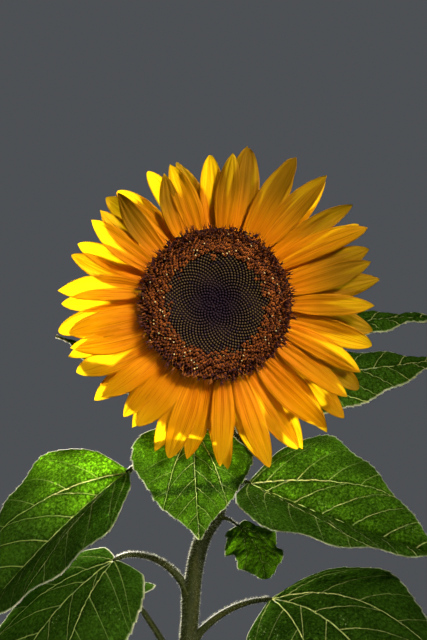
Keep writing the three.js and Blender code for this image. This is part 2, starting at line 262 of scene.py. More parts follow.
def tubes(rings, cells, fields, material=0):
    # closed tubes from rings (count, rows, sides, 3), with one flat face over each end
    rows, sides = rings.shape[1:3]
    quads, wall = ringQuads(np.arange(sides + 1) / sides, 0.06 + 0.94 * np.arange(rows) / (rows - 1))
    k = np.arange(sides)
    ends = np.stack([k[::-1], k + (rows - 1) * sides])
    circle = np.stack([np.cos(turns(sides)), np.sin(turns(sides))], -1) * 0.02
    endMap = np.stack([circle[::-1] + (0.25, 0.03), circle + (0.75, 0.03)])
    return bodies(rings.reshape(-1, 3), [quads, ends], [wall, endMap], cells,
                  {key: value.reshape(-1, 3) for key, value in fields.items()}, material)


def hairs(roots, ways, length, width, cell, material=0):
    # three-sided spikes from roots (n, 3) along ways (n, 3), with a field from 0 at the root to 1
    aside = unit(np.cross(ways, np.array([0.31, 0.77, 0.55])))
    foot = roots[:, None] + width * spoke(aside[:, None], np.cross(ways, aside)[:, None], turns(3))
    tip = (roots + ways * np.reshape(length, (-1, 1)))[:, None]
    faces = np.array([[0, 2, 1], [0, 1, 3], [1, 2, 3], [2, 0, 3]])
    uv = np.array([[[0.1, 0.1], [0.5, 0.05], [0.9, 0.1]], [[0.1, 0.15], [0.3, 0.15], [0.2, 0.95]],
                   [[0.4, 0.15], [0.6, 0.15], [0.5, 0.95]], [[0.7, 0.15], [0.9, 0.15], [0.8, 0.95]]])
    rise = np.tile([[0.0, 0, 0], [0, 0, 0], [0, 0, 0], [1, 0, 0]], (len(roots), 1))
    return bodies(np.concatenate([foot, tip], 1).reshape(-1, 3), [faces], [uv],
                  np.tile(cell, (len(roots), 1)), {"hair": rise}, material)


# Shader sums

class Wire:
    # one output of a shader node, so that sums of sockets are written as sums

    def __init__(self, graph, socket):
        self.graph, self.socket = graph, socket

    def maths(self, operation, *values):
        return self.graph.node("Math", {"operation": operation}, dict(enumerate(values)))

    def __add__(self, other):
        return self.maths("ADD", self, other)

    def __sub__(self, other):
        return self.maths("SUBTRACT", self, other)

    def __rsub__(self, other):
        return self.maths("SUBTRACT", other, self)

    def __mul__(self, other):
        return self.maths("MULTIPLY", self, other)

    def __truediv__(self, other):
        return self.maths("DIVIDE", self, other)

    def __neg__(self):
        return self * -1.0

    def __abs__(self):
        return self.maths("ABSOLUTE", self)

    def ramp(self, low, high):
        # 0 below low, 1 above high
        settings = {"interpolation_type": "SMOOTHSTEP"}
        return self.graph.node("MapRange", settings, {"Value": self, "From Min": low, "From Max": high})

    def fall(self, low, high):
        return 1 - self.ramp(low, high)


# these four take wires as well as arrays, because the veins are both painted and raised

def least(a, b):
    return a.maths("MINIMUM", a, b) if isinstance(a, Wire) else np.minimum(a, b)


def most(a, b):
    return a.maths("MAXIMUM", a, b) if isinstance(a, Wire) else np.maximum(a, b)


def beyond(a, b):
    # 1 where a is more than b, else 0
    return a.maths("GREATER_THAN", a, b) if isinstance(a, Wire) else np.where(a > b, 1.0, 0.0)


def fraction(a):
    return a.maths("FRACT", a) if isinstance(a, Wire) else a - np.floor(a)


class Graph:
    # the node tree of one material

    def __init__(self, name):
        self.material = bpy.data.materials.new(name)
        self.material.use_nodes = True
        self.tree = self.material.node_tree
        self.tree.nodes.clear()

    def node(self, kind, settings=None, sockets=None, output=0):
        made = self.tree.nodes.new("ShaderNode" + kind)
        for key, value in (settings or {}).items():
            setattr(made, key, value)
        for key, value in (sockets or {}).items():
            if isinstance(value, Wire):
                self.tree.links.new(value.socket, made.inputs[key])
            else:
                made.inputs[key].default_value = value
        return Wire(self, made.outputs[output])

    def field(self, name):
        # the three numbers of a field that the mesh carries, and the field as a vector
        whole = self.node("Attribute", {"attribute_name": name}, output="Vector")
        split = self.node("SeparateXYZ", None, {0: whole}).socket.node
        return [Wire(self, split.outputs[i]) for i in range(3)] + [whole]

    def stretch(self, vector, scale):
        return self.node("VectorMath", {"operation": "MULTIPLY"}, {0: vector, 1: scale})

    def noise(self, vector, scale, detail, rough=0.5):
        sockets = {"Vector": vector, "Scale": scale, "Detail": detail, "Roughness": rough}
        return self.node("TexNoise", None, sockets)

    def cells(self, vector, scale, feature="DISTANCE_TO_EDGE", output=0):
        sockets = {"Vector": vector, "Scale": scale}
        return self.node("TexVoronoi", {"feature": feature}, sockets, output)

    def runs(self, at, stops):
        # a colour that runs through the stops, each a place from 0 to 1 and a colour
        made = self.node("ValToRGB", None, {0: at})
        ramp = made.socket.node.color_ramp
        while len(ramp.elements) < len(stops):
            ramp.elements.new(0.5)
        for stop, (place, colour) in zip(ramp.elements, stops):
            stop.position, stop.color = place, (*colour, 1)
        return made

    def layers(self, colour, *over):
        # each (factor, colour) laid over what is there, which it hides where the factor is 1
        for factor, upper in over:
            a, b = [value if isinstance(value, Wire) else (*value, 1) for value in (colour, upper)]
            colour = self.node("Mix", {"data_type": "RGBA"}, {0: factor, 6: a, 7: b}, output=2)
        return colour

    def bump(self, height, distance, strength):
        return self.node("Bump", None, {"Height": height, "Distance": distance, "Strength": strength})

    def finish(self, colour, roughness, normal, specular=0.5, through=None, share=0.0):
        # a Principled surface, mixed with light that comes through it in the colour given
        facing = {} if normal is None else {"Normal": normal}
        shader = self.node("BsdfPrincipled", None, {
            "Base Color": colour, "Roughness": roughness, "Specular IOR Level": specular, **facing})
        if through is not None:
            lit = self.node("BsdfTranslucent", None, {"Color": (*through, 1), **facing})
            shader = self.node("MixShader", None, {0: share, 1: shader, 2: lit})
        end = self.tree.nodes.new("ShaderNodeOutputMaterial")
        self.tree.links.new(shader.socket, end.inputs["Surface"])
        return self.material


print("helpers ready")


# Materials

def stalkMaterial():
    # olive skin with long pale ribs and a fine grain along the stalk
    graph = Graph("stalkSkin")
    whole = graph.field("stalk")[3]
    streaks = graph.noise(graph.stretch(whole, (3.2, 3.2, 0.35)), 2.2, 4)
    blotches = graph.noise(graph.stretch(whole, (0.8, 0.8, 0.5)), 1.1, 2)
    specks = graph.cells(graph.stretch(whole, (4.5, 4.5, 2.2)), 1.0, "F1")
    colour = graph.layers(
        (0.014, 0.021, 0.002),
        (streaks.ramp(0.35, 0.7), (0.036, 0.041, 0.005)),
        (blotches.ramp(0.45, 0.75) * 0.6, (0.060, 0.056, 0.009)),
        (specks.fall(0.10, 0.22), (0.11, 0.12, 0.05)))
    height = streaks * 0.6 - specks.ramp(0.0, 0.3) * 0.25
    return graph.finish(colour, streaks.ramp(0.2, 0.9) * 0.2 + 0.55, graph.bump(height, 0.0006, 0.6),
                        specular=0.15)


def hairMaterial():
    # stiff pale hairs, greenish where they leave the skin
    graph = Graph("paleHair")
    rise = graph.field("hair")[0]
    colour = graph.layers((0.06, 0.075, 0.02), (rise.ramp(0.0, 0.5), (0.34, 0.34, 0.22)))
    return graph.finish(colour, 0.45, None, through=(0.98, 0.98, 0.86), share=0.85)


# The veins of a blade, in shares of its length and in degrees from the midrib. A basal vein leaves
# the midrib at its base, laterals leave the midrib and outer veins the basal one, every step from
# the first on and shifted by part of a step on the right half. All of them bend towards the tip.
veins = {
    "base": 0.02,
    "basalAngle": 33, "basalBend": 0.26,
    "lateral": dict(angle=54, bend=1.1, first=0.17, step=0.15, shift=0.5),
    "outer": dict(angle=48, bend=0.9, first=0.14, step=0.16, shift=0.35),
    "lobeAngles": (80, 120), "lobeBend": 0.55,
    "far": 9.0,                 # stands for no vein near
}


def leaned(x, y, angle):
    # how far a place lies along a line that leans out by the angle, and how far outside it
    sine, cosine = math.sin(math.radians(angle)), math.cos(math.radians(angle))
    return x * sine + y * cosine, x * cosine - y * sine


def sideVeins(kind, out, along, right):
    # distance to the nearest of a row of veins that leave a line, where out and along are measured
    angle = math.radians(kind["angle"])
    start = along - out * (1 / math.tan(angle)) - out * out * kind["bend"]
    turn = (start - kind["first"]) / kind["step"] + right * kind["shift"]
    gap = abs(fraction(turn + 0.5) - 0.5) * kind["step"] * math.sin(angle)
    return gap + beyond(-turn, 0.5) * veins["far"]


def veinGaps(x, y, right):
    # How far a place is from the basal, the lateral and the outer veins, and how far along the
    # basal one it lies. x runs out from the midrib and y along it; right is 1 on one half, else 0.
    far = veins["far"]
    rise = y - veins["base"]
    p, r = leaned(x, rise, veins["basalAngle"])
    r = r + p * p * veins["basalBend"]
    outside = beyond(r, 0.0)
    basal = abs(r) + beyond(-p, 0.0) * far
    lateral = sideVeins(veins["lateral"], x, rise, right) + outside * far
    outer = sideVeins(veins["outer"], r, p, right) + (1 - outside) * far
    for angle in veins["lobeAngles"]:
        reach, beside = leaned(x, rise, angle)
        gap = abs(beside + reach * reach * veins["lobeBend"])
        outer = least(outer, gap + beyond(-reach, 0.0) * far)
    return basal, lateral, outer, p


def leafMaterial():
    # Deep green above, paler below, with pale veins, a fine net between them and light spots. The pale
    # margin is painted rim light, lighter puffs and crinkles are painted highlights, and dark bands beside
    # the veins are painted shade. Light comes through between the veins, unevenly by the painted puffs
    # and crinkles and by each leaf's painted sun and shade.
    graph = Graph("leafSkin")
    across, along, edge, whole = graph.field("blade")
    side, toneAndLight = graph.field("leaf")[:2]
    x = abs(across)
    basal, lateral, outer, p = veinGaps(x, along, beyond(across, 0.0))
    main = most((x / (0.0052 - along * 0.0036)).fall(0.5, 1.3),
                (basal / (0.0042 - p * 0.0034)).fall(0.45, 1.4))
    thin = (least(lateral, outer) / (0.0028 - x * 0.0036)).fall(0.45, 1.5)
    lines = most(main, thin * (0.62 - x * 0.7))
    # painted shade: a dark band in the sunken ground beside the midrib, the basal veins and the laterals,
    # which also lets less light through
    veinShade = least(least(x, basal).fall(0.0045, 0.03) * 0.5 + lateral.fall(0.003, 0.02) * 0.35, 0.6)

    flat = graph.stretch(whole, (1, 1, 0))
    net, fine, bump = [graph.cells(flat, scale) for scale in (24.0, 80.0, 38.0)]
    mesh = most(net.fall(0.0, 0.11) * 0.7, fine.fall(0.0, 0.2) * 0.45)
    clouds = graph.noise(flat, 6.0, 3)
    grain = graph.noise(flat, 110.0, 1)
    # painted highlights: lighter green on fine crinkles and, in patches, on the puffs of the cells, where
    # more light also comes through
    crinkleLight = graph.noise(flat, 78.0, 3, 0.65).ramp(0.36, 0.64)
    patchyLight = graph.noise(flat, 6.5, 1).ramp(0.32, 0.62) * 0.75 + 0.25
    chance = graph.cells(flat, 38.0, "F1", "Color")
    puffLight = bump.ramp(0.02, 0.32) * (chance.ramp(0.3, 0.75) * 0.45 + 0.35) * patchyLight
    spots = graph.cells(flat, 62.0, "F1").fall(0.10, 0.22) * graph.noise(flat, 3.4, 1).ramp(0.55, 0.66)

    top = graph.layers(
        (0.006, 0.022, 0.001),
        (clouds.ramp(0.3, 0.75), (0.020, 0.060, 0.002)),
        # lighter green as painted highlights on the puffs and crinkles
        (puffLight * 0.45 + crinkleLight * 0.28, (0.075, 0.185, 0.016)),
        (mesh * 0.35, (0.060, 0.14, 0.010)),
        (grain.ramp(0.45, 0.75) * 0.4, (0.040, 0.10, 0.005)),
        # the painted shade beside the veins
        (veinShade, (0.006, 0.024, 0.001)),
        # veins painted brighter where the tone, each leaf's painted sun where it has one, is high
        (lines * (toneAndLight.ramp(0.0, 2.0) * 0.5 + 0.45), (0.90, 0.96, 0.30)))
    colour = graph.layers(
        (0.055, 0.12, 0.018),
        (clouds.ramp(0.3, 0.75), (0.095, 0.18, 0.03)),
        (mesh * 0.6, (0.16, 0.26, 0.07)),
        (lines * 0.85, (0.38, 0.47, 0.18)),
        (side, top),
        # a pale band along the margin as painted rim light of the sunlit margin hairs
        (edge.fall(0.003, 0.009) * 0.7, (0.60, 0.66, 0.34)),
        (spots * side * 0.8, (0.74, 0.80, 0.36)))
    rough = clouds.ramp(0.2, 0.8) * 0.1 + 0.4 + (1 - side) * 0.25
    height = fine.ramp(0.0, 0.25) * 0.3 + net.ramp(0.0, 0.2) * 0.5 + bump.ramp(0.0, 0.4) * 0.7 - lines * 0.5
    # light through follows the tone, which is each leaf's painted sun and shade where it has them, and the
    # painted puff and crinkle light
    passing = most(toneAndLight * 0.20 * (clouds.ramp(0.25, 0.75) * 0.6 + 0.65) + 0.03, 0.02)
    passing = passing * (1 - grain.ramp(0.4, 0.7) * 0.45) * (crinkleLight * 0.6 + puffLight * 0.65 + 0.3)
    share = passing * (1 - veinShade * 0.8) * (1 - most(main * 0.45, mesh * 0.6))
    return graph.finish(colour, rough, graph.bump(height, 0.0012, 0.8), specular=0.0,
                        through=(0.60, 0.98, 0.11), share=share)


def veinMaterial():
    # the raised ribs on the back of a blade
    graph = Graph("leafRib")
    along = graph.field("leaf")[1]
    grain = graph.noise(graph.node("TexCoord", output="Object"), 900.0, 2)
    colour = graph.layers((0.22, 0.30, 0.09), (grain.ramp(0.3, 0.7), (0.36, 0.44, 0.18)))
    return graph.finish(colour, along * 0.1 + 0.5, graph.bump(grain, 0.0002, 0.4))


def rayMaterial():
    # Orange at the root running to golden yellow at the tip, the deep root partly painted shade, with fine
    # lengthwise veins and a dark rim, and deeper orange with a dark brown outer part where the tone,
    # painted shade on the rays, is high. Less light comes through the root and the shaded outer part.
    graph = Graph("rayFloret")
    across, along, _, whole = graph.field("ray")
    side, toneAndLight = graph.field("leaf")[:2]
    threads = graph.noise(graph.stretch(whole, (7.5, 0.9, 23.0)), 1.6, 3, 0.6)
    broad = graph.noise(graph.stretch(whole, (2.6, 0.7, 41.0)), 1.0, 2)
    rim = abs(across).ramp(0.80, 1.0) * along.ramp(0.3, 0.7)
    # painted shade: the outer part of a ray turns dark brown and lets less light through where its tone is
    # high
    tipShade = toneAndLight.ramp(0.62, 0.86) * along.ramp(0.12, 0.7)
    # the dark orange root is partly the ray's own colour and partly painted shade where the rays' bases shade
    # one another
    golden = graph.runs(along, [
        (0.0, (0.34, 0.050, 0.001)), (0.25, (0.72, 0.185, 0.001)), (0.5, (0.86, 0.31, 0.002)),
        (0.78, (0.90, 0.42, 0.002)), (1.0, (0.92, 0.54, 0.006))])
    colour = graph.layers(
        golden,
        (broad.ramp(0.35, 0.7) * 0.35, (0.97, 0.48, 0.002)),
        (threads.ramp(0.5, 0.64) * 0.7, (0.46, 0.110, 0.001)),
        (toneAndLight * 0.4, (0.86, 0.27, 0.001)),
        ((1 - side) * 0.45, (0.93, 0.55, 0.02)),
        (tipShade * 0.85, (0.18, 0.095, 0.002)),
        (rim * 0.5, (0.38, 0.14, 0.001)))
    share = (0.70 - threads.ramp(0.52, 0.62) * 0.36) * (1 - tipShade * 0.6) * (1 - rim * 0.5)
    share = share * (along.ramp(0.15, 0.75) * 0.55 + 0.45)
    return graph.finish(colour, threads.ramp(0.3, 0.8) * 0.2 + 0.5, graph.bump(threads, 0.0006, 0.6),
                        specular=0.06, through=(1.0, 0.83, 0.07), share=share)


def bractMaterial():
    # green with lengthwise threads, browner towards the tip
    graph = Graph("bractSkin")
    _, along, _, whole = graph.field("ray")
    threads = graph.noise(graph.stretch(whole, (6.0, 1.2, 19.0)), 1.8, 3)
    colour = graph.layers(
        (0.035, 0.085, 0.010),
        (threads.ramp(0.3, 0.7), (0.095, 0.16, 0.026)),
        (along.ramp(0.55, 1.0) * 0.5, (0.10, 0.085, 0.02)))
    return graph.finish(colour, threads.ramp(0.2, 0.8) * 0.2 + 0.5, graph.bump(threads, 0.0005, 0.6),
                        through=(0.3, 0.5, 0.05), share=0.2)


floretLooks = {
    "closedFloret": dict(foot=(0.026, 0.010, 0.007), body=(0.027, 0.014, 0.028), tip=(0.140, 0.090, 0.023),
                         tipFrom=0.6, other=(0.030, 0.017, 0.034), otherShare=0.12),
    "openFloret": dict(foot=(0.07, 0.012, 0.003), body=(0.15, 0.034, 0.006), tip=(0.38, 0.100, 0.012),
                       tipFrom=0.5, other=(0.035, 0.008, 0.008), otherShare=0.42),
    "anther": dict(foot=(0.28, 0.055, 0.009), body=(0.060, 0.016, 0.018), tip=(0.080, 0.024, 0.026),
                   tipFrom=0.5, other=(0.40, 0.12, 0.012), otherShare=0.36),
    "pollen": dict(foot=(0.50, 0.34, 0.07), body=(0.78, 0.62, 0.22), tip=(0.85, 0.74, 0.36),
                   tipFrom=0.5, other=(0.60, 0.40, 0.08), otherShare=0.3),
}


def floretMaterial(name, foot, body, tip, tipFrom, other, otherShare):
    # one colour at the foot, the next on the body and a third at the tip, the last only away from
    # the middle of the disc; a share of the florets has another colour
    graph = Graph(name)
    rise, radius, seed, whole = graph.field("floret")
    grain = graph.noise(graph.stretch(whole, (5.0, 60.0, 31.0)), 2.0, 2)
    chance = graph.node("TexWhiteNoise", {"noise_dimensions": "1D"}, {"W": seed})
    colour = graph.layers(
        foot,
        (rise.ramp(0.0, tipFrom), body),
        (rise.ramp(tipFrom, 1.0) * radius.ramp(0.12, 0.55), tip),
        (chance.fall(otherShare - 0.1, otherShare + 0.1) * 0.85, other),
        (grain.ramp(0.4, 0.75) * 0.45, [c * 0.45 for c in body]))
    return graph.finish(colour, grain.ramp(0.2, 0.8) * 0.2 + 0.6, None, specular=0.12)


stalkSkin, paleHair, leafSkin, leafRib = stalkMaterial(), hairMaterial(), leafMaterial(), veinMaterial()
raySkin, bractSkin = rayMaterial(), bractMaterial()
budSkin, openSkin, antherSkin, pollenSkin = [
    floretMaterial(name, **look) for name, look in floretLooks.items()]
print("materials ready")


# Stem and neck

stem = {
    "line": [                   # points that its middle runs through, up to behind the flower
        (0, 0, 0), (0, 0, 60), (5, 0, 320), (21, 0, 860), (44, 0, 1173), (54, 0, 1258),
        (75, 0, 1304), (94, 0, 1354), (97, 3, 1405), (95, 10, 1450), (87, 7, 1485), (79, -13, 1504)],
    "radius": 8, "footExtra": 6, "taperHeight": 1300, "flare": 5, "flareHeight": 25,
    "split": 1354,              # height where the stem passes into the neck
    "neckRadius": 10.4,
    "stretches": 4,
    "sides": 56, "rowStep": 4,
    "ribs": 7, "ribDepth": 0.025, "fineRibs": 23, "fineDepth": 0.011, "fineSway": 90,
    "waveDepth": 0.012, "waveLengths": (23, 61),    # depths are shares of the radius
    "knotSwell": 1.9, "knotHeight": 9, "knotTurn": 0.75,
    "lowHairs": 0.3, "highHairs": 0.36,         # hairs on a square millimetre, at the two heights
    "hairHeights": (900, 1180),
    "hairLength": 2.7, "hairWidth": 0.15,
}

nod = math.radians(flower["nod"])
faceOut = np.array([0, -math.cos(nod), -math.sin(nod)])
faceUp = np.array([0, -math.sin(nod), math.cos(nod)])
faceRight = np.array([1.0, 0, 0])
headMiddle = np.array(flower["middle"], float)
neckEnd = headMiddle - faceOut * (flower["receptacleDepth"] + 0.3)
stemPoints = np.vstack([stem["line"], neckEnd - 20 * faceOut, neckEnd])


def stemAt(f):
    # through the points by cubics whose tangent at a point is (next - previous) / 2
    f = np.asarray(f, float)
    knots = np.vstack([2 * stemPoints[0] - stemPoints[1], stemPoints, 2 * stemPoints[-1] - stemPoints[-2]])
    at = np.clip(f, 0, 1) * (len(stemPoints) - 1)
    k = np.minimum(at.astype(int), len(stemPoints) - 2)
    t = (at - k)[..., None]
    a, b, c, d = [knots[k + i] for i in range(4)]
    return 0.5 * (2 * b + (c - a) * t + (2 * a - 5 * b + 4 * c - d) * t ** 2
                  + (3 * b - a - 3 * c + d) * t ** 3)


fineLine = np.linspace(0, 1, 4001)
finePoints = stemAt(fineLine)
fineLength = np.concatenate([[0], np.cumsum(np.linalg.norm(np.diff(finePoints, axis=0), axis=1))])


def lineAtHeight(height):
    rising = fineLine < 0.8     # behind the flower the line comes down again
    return np.interp(height, finePoints[rising, 2], fineLine[rising])


def lengthAt(f):
    return np.interp(f, fineLine, fineLength)


splitAt = lineAtHeight(stem["split"])


def stemFrame(f):
    # the line's direction, the side next to +X that is square to it, and their cross product
    along = unit(stemAt(np.minimum(f + 1e-4, 1)) - stemAt(np.maximum(f - 1e-4, 0)))
    side = unit(faceRight - along * along[..., :1])
    return along, side, np.cross(along, side)


def stemRadius(f):
    # radius + footExtra (1 - height / taperHeight)^1.1 + flare e^(-height / flareHeight), and on
    # the neck by the third power of the way along it towards the neck's radius
    height = stemAt(f)[..., 2]
    taper = np.clip(1 - height / stem["taperHeight"], 0, 1) ** 1.1 * stem["footExtra"]
    flare = stem["flare"] * np.exp(-height / stem["flareHeight"])
    swell = np.clip((f - splitAt) / (1 - splitAt), 0, 1) ** 3
    return mix(stem["radius"] + taper + flare, stem["neckRadius"], swell)


def stemRelief(f, angle):
    # ribs, a fainter second set, slow waves, and a swelling under each leaf stalk
    distance = lengthAt(f)
    first, second = stem["waveLengths"]
    ribs = (stem["ribDepth"] * np.cos(stem["ribs"] * angle)
            + stem["fineDepth"] * np.cos(stem["fineRibs"] * angle + 3 * np.sin(distance / stem["fineSway"]))
            + stem["waveDepth"] * np.sin(distance / first + 2 * np.sin(angle))
            * np.sin(distance / second + angle))
    swell = 0
    for at, heading in knots:
        turn = (angle - heading + math.pi) % (2 * math.pi) - math.pi
        swell = swell + stem["knotSwell"] * np.exp(
            -((distance - at) / stem["knotHeight"]) ** 2 - (turn / stem["knotTurn"]) ** 2)
    return stemRadius(f) * (1 + ribs) + swell


def stemSurface(f, angle):
    along, side, front = stemFrame(f)
    out = spoke(side, front, angle)
    return stemAt(f) + out * stemRelief(f, angle)[..., None], out, along


# Leaves. A leaf leaves the stem at a height. Its stalk has a length, a heading (degrees from +X
# towards +Y) and a rise (degrees above level), each at its start and end. The blade has a length,
# a width, headings and rises in the same way, a roll about its midrib at base and tip, a fold of
# its halves and a depth of its base lobes. Some are puffed (quilt) or waved more or less than
# others, and some carry painted sun and shade: how much light comes through at base and tip,
# high where sun is painted on and low where shade is.
upperLeaves = [
    dict(name="front", height=1402, stalk=(71, -115, -159, 18, -38),
         blade=(107, 117, -97, -62, -52, -82), roll=(-11, 0), fold=10, lobe=0.15, quilt=1.1, wave=1.5,
         paintedSun=(2.4, 2.3)),
    dict(name="left_upper", height=1346, stalk=(110, 181, 191, 6, -4),
         blade=(208, 196, 198, 196, -36, -52), roll=(-23, -33), fold=34, lobe=0.04, quilt=0.45,
         paintedSun=(4.7, -0.6)),
    dict(name="right_upper", height=1324, stalk=(22, 28, -2, 18, 7),
         blade=(202, 213, -27, -24, -20, -13), roll=(25, 24), fold=38, lobe=0.05, quilt=0.6, paintedSun=(2.8, 2.5)),
    dict(name="left_lower", height=1210, stalk=(98, 178, 194, 74, 2),
         blade=(196, 164, 211, 220, -24, -74), roll=(-6, -22), fold=8, lobe=0.15, quilt=0.5,
         paintedSun=(0.6, -0.3)),
    dict(name="right_lower", height=1166, stalk=(101, -4, -16, 56, 15),
         blade=(196, 192, -38, -61, 9, -70), roll=(13, 45), fold=11, lobe=0.06, quilt=0.5, paintedSun=(1.4, 0.5)),
    dict(name="small", height=1293, stalk=(28, -15, -30, 10, -30),
         blade=(60, 57, -28, -68, -28, -76), roll=(12, 16), fold=12, lobe=0.14, blunt=0.55, wave=2.6,
         paintedSun=(2.7, 2.5)),
    dict(name="right_rear", height=1410, stalk=(54, 36, 26, 31, 16),
         blade=(200, 94, 12, -3, 11, 6), roll=(51, 39), fold=10, lobe=0.13),
    dict(name="right_top", height=1434, stalk=(73, 38, 22, 37, 20),
         blade=(196, 66, 15, 0, 31, -7), roll=(29, 36), fold=11, lobe=0.13),
    dict(name="left_rear", height=1397, stalk=(63, 141, 160, 22, 9),
         blade=(172, 74, 167, 182, 28, 22), roll=(-30, -27), fold=9, lobe=0.13),
    dict(name="left_under", height=1130, stalk=(102, 170, 151, 66, 42),
         blade=(180, 140, 145, 138, -5, -62), roll=(-10, -10), fold=10, lobe=0.13),
    dict(name="back", height=1096, stalk=(74, 92, 96, 30, 5),
         blade=(176, 128, 97, 104, -14, -66), roll=(6, -8), fold=14, lobe=0.12),
]

lowerLeaves = {
    "count": 10, "top": 1062, "spacing": 80, "firstHeading": -62,
    "length": 196, "lengthSwell": 44, "width": 0.82,    # longest half-way down, width as a share
    "stalk": 92, "stalkJitter": 26,
    "stalkRises": ((46, 36), (6, -8)),                  # start and end, each of the top and last leaf
    "bladeRises": ((-12, -26), (-58, -72)),
}

leafMake = {
    "bend": 0.85,               # share of the stalk before it turns into the blade's direction
    "steps": 192,
    "stalkFoot": 5, "stalkTip": 2.6, "stalkSides": 20, "stalkStep": 3,
    "stalkBlade": 190,          # length of the blade that has a stalk of just this thickness
    "flare": 0.55, "flareLength": 6, "groove": 0.24, "grooveTurn": 0.5,
    "into": (2.0, 4.5), "intoShares": (0.9, 0.45),  # the stalk runs on under the blade, thinner
    "thick": 0.8,               # of the blade at its midrib
    "rows": 140, "columns": 32, "lowRows": 96, "lowColumns": 22,
    "tooth": 1.7, "toothStep": 8.5,
    "wave": 2.6, "waveLength": 52,
    "pillow": 1.5, "pillowEdge": 0.016,     # how high it puffs up beside a vein, and how soon
    "puffs": ((1.5, 15), (0.5, 34)),        # height of the cells, and how many on the length
    "ribSides": 5, "ribRows": 22,
    "hairStep": 0.28, "hairLength": 1.4, "hairWidth": 0.15,
    "rim": 0.42, "rimRows": 150,
}


def lowerLeaf(k):
    # one golden angle further round than the last, and hanging more the lower it is
    heading = lowerLeaves["firstHeading"] + k * goldenAngle
    age = k / (lowerLeaves["count"] - 1)
    swell = lowerLeaves["lengthSwell"] * math.sin(math.pi * (0.15 + 0.7 * age))
    size = lowerLeaves["length"] + swell + jitter(k, 14)
    stalkRises, bladeRises = [[mix(*ends, age) for ends in lowerLeaves[key]]
                              for key in ("stalkRises", "bladeRises")]
    return dict(
        name=f"lower_{k + 1}", height=lowerLeaves["top"] - lowerLeaves["spacing"] * k,
        stalk=(lowerLeaves["stalk"] + lowerLeaves["stalkJitter"] * scatter(k + 20), heading, heading + 8,
               *stalkRises),
        blade=(size, size * lowerLeaves["width"], heading + 6, heading + jitter(k + 40, 22), *bladeRises),
        roll=(jitter(k + 60, 10), jitter(k + 80, 16)), fold=10 + 6 * scatter(k + 90), lobe=0.12)


def direction(heading, rise):
    # (cos r cos h, cos r sin h, sin r)
    rise = np.radians(rise)
    return aroundZ(np.cos(rise), np.radians(heading), np.sin(rise))


class TurningPath:
    # start + integral of (cos r cos h, cos r sin h, sin r) for heading h(f) and rise r(f)

    def __init__(self, start, length, headings, rises):
        steps = leafMake["steps"]
        middle = (np.arange(steps) + 0.5) / steps
        moves = direction(headings(middle), rises(middle)) * length / steps
        self.points = start + np.vstack([np.zeros(3), np.cumsum(moves, 0)])
        self.headings, self.rises = headings, rises
        self.knots = np.linspace(0, 1, steps + 1)

    def at(self, f):
        return between(f, self.knots, self.points)

    def frame(self, f):
        along = direction(self.headings(f), self.rises(f))
        side = direction(self.headings(f) + 90, 0)
        return along, side, np.cross(along, side)


def leafPaths(leaf):
    # the stalk turns evenly from its first direction to its last and then into the blade's
    length, heading0, heading1, rise0, rise1 = leaf["stalk"]
    size, _, bladeHeading0, bladeHeading1, bladeRise0, bladeRise1 = leaf["blade"]
    bend = leafMake["bend"]

    def turning(first, last, following):
        return lambda f: np.where(f < bend, mix(first, last, f / bend),
                                  mix(last, following, (f - bend) / (1 - bend)))

    start = stemAt(lineAtHeight(leaf["height"]))
    stalk = TurningPath(start, length, turning(heading0, heading1, bladeHeading0),
                        turning(rise0, rise1, bladeRise0))
    base = stalk.points[-1] + direction(bladeHeading0, bladeRise0) * 0.3
    midrib = TurningPath(base, size, lambda f: mix(bladeHeading0, bladeHeading1, f),
                         lambda f: mix(bladeRise0, bladeRise1, f))
    return stalk, midrib


def bladeSwell(leaf, s):
    # (1 - exp(-(s / 0.13)^1.4)) (1 - s^2.2)^(1.15 - blunt) / 0.889, the blade's half-width, 1 at most
    return (1 - np.exp(-(s / 0.13) ** 1.4)) * (1 - s ** 2.2) ** (1.15 - leaf.get("blunt", 0)) / 0.889


def lobeBack(leaf, s, t, swell):
    # lobe ((|t| - 0.2) / 0.8)^1.2 (1 - s)^3, the share of its length that a place is drawn back
    outer = np.maximum(0, (np.abs(t) - 0.2) / 0.8) ** 1.2
    return leaf["lobe"] * outer * (1 - s) ** 3 * np.minimum(1, 2 * swell)


def leafRelief(x, y, t, number):
    # the blade sinks along its veins and puffs up between them, less towards the margin
    basal, lateral, outer, _ = veinGaps(np.abs(x), y, beyond(x, 0.0))
    gap = least(least(np.abs(x), basal), least(lateral, outer))
    pillow = leafMake["pillow"] * (1 - np.exp(-(gap / leafMake["pillowEdge"]) ** 2))
    (high, many), (low, more) = leafMake["puffs"]
    puff = high * smooth(0.02, 0.5, cellGap(x * many + 3.1 * number, y * many, 7 + number))
    puff = puff + low * smooth(0.0, 0.5, cellGap(x * more, y * more + 1.7 * number, 29))
    return (pillow + puff - 1.6) * (1 - np.abs(t) ** 8)


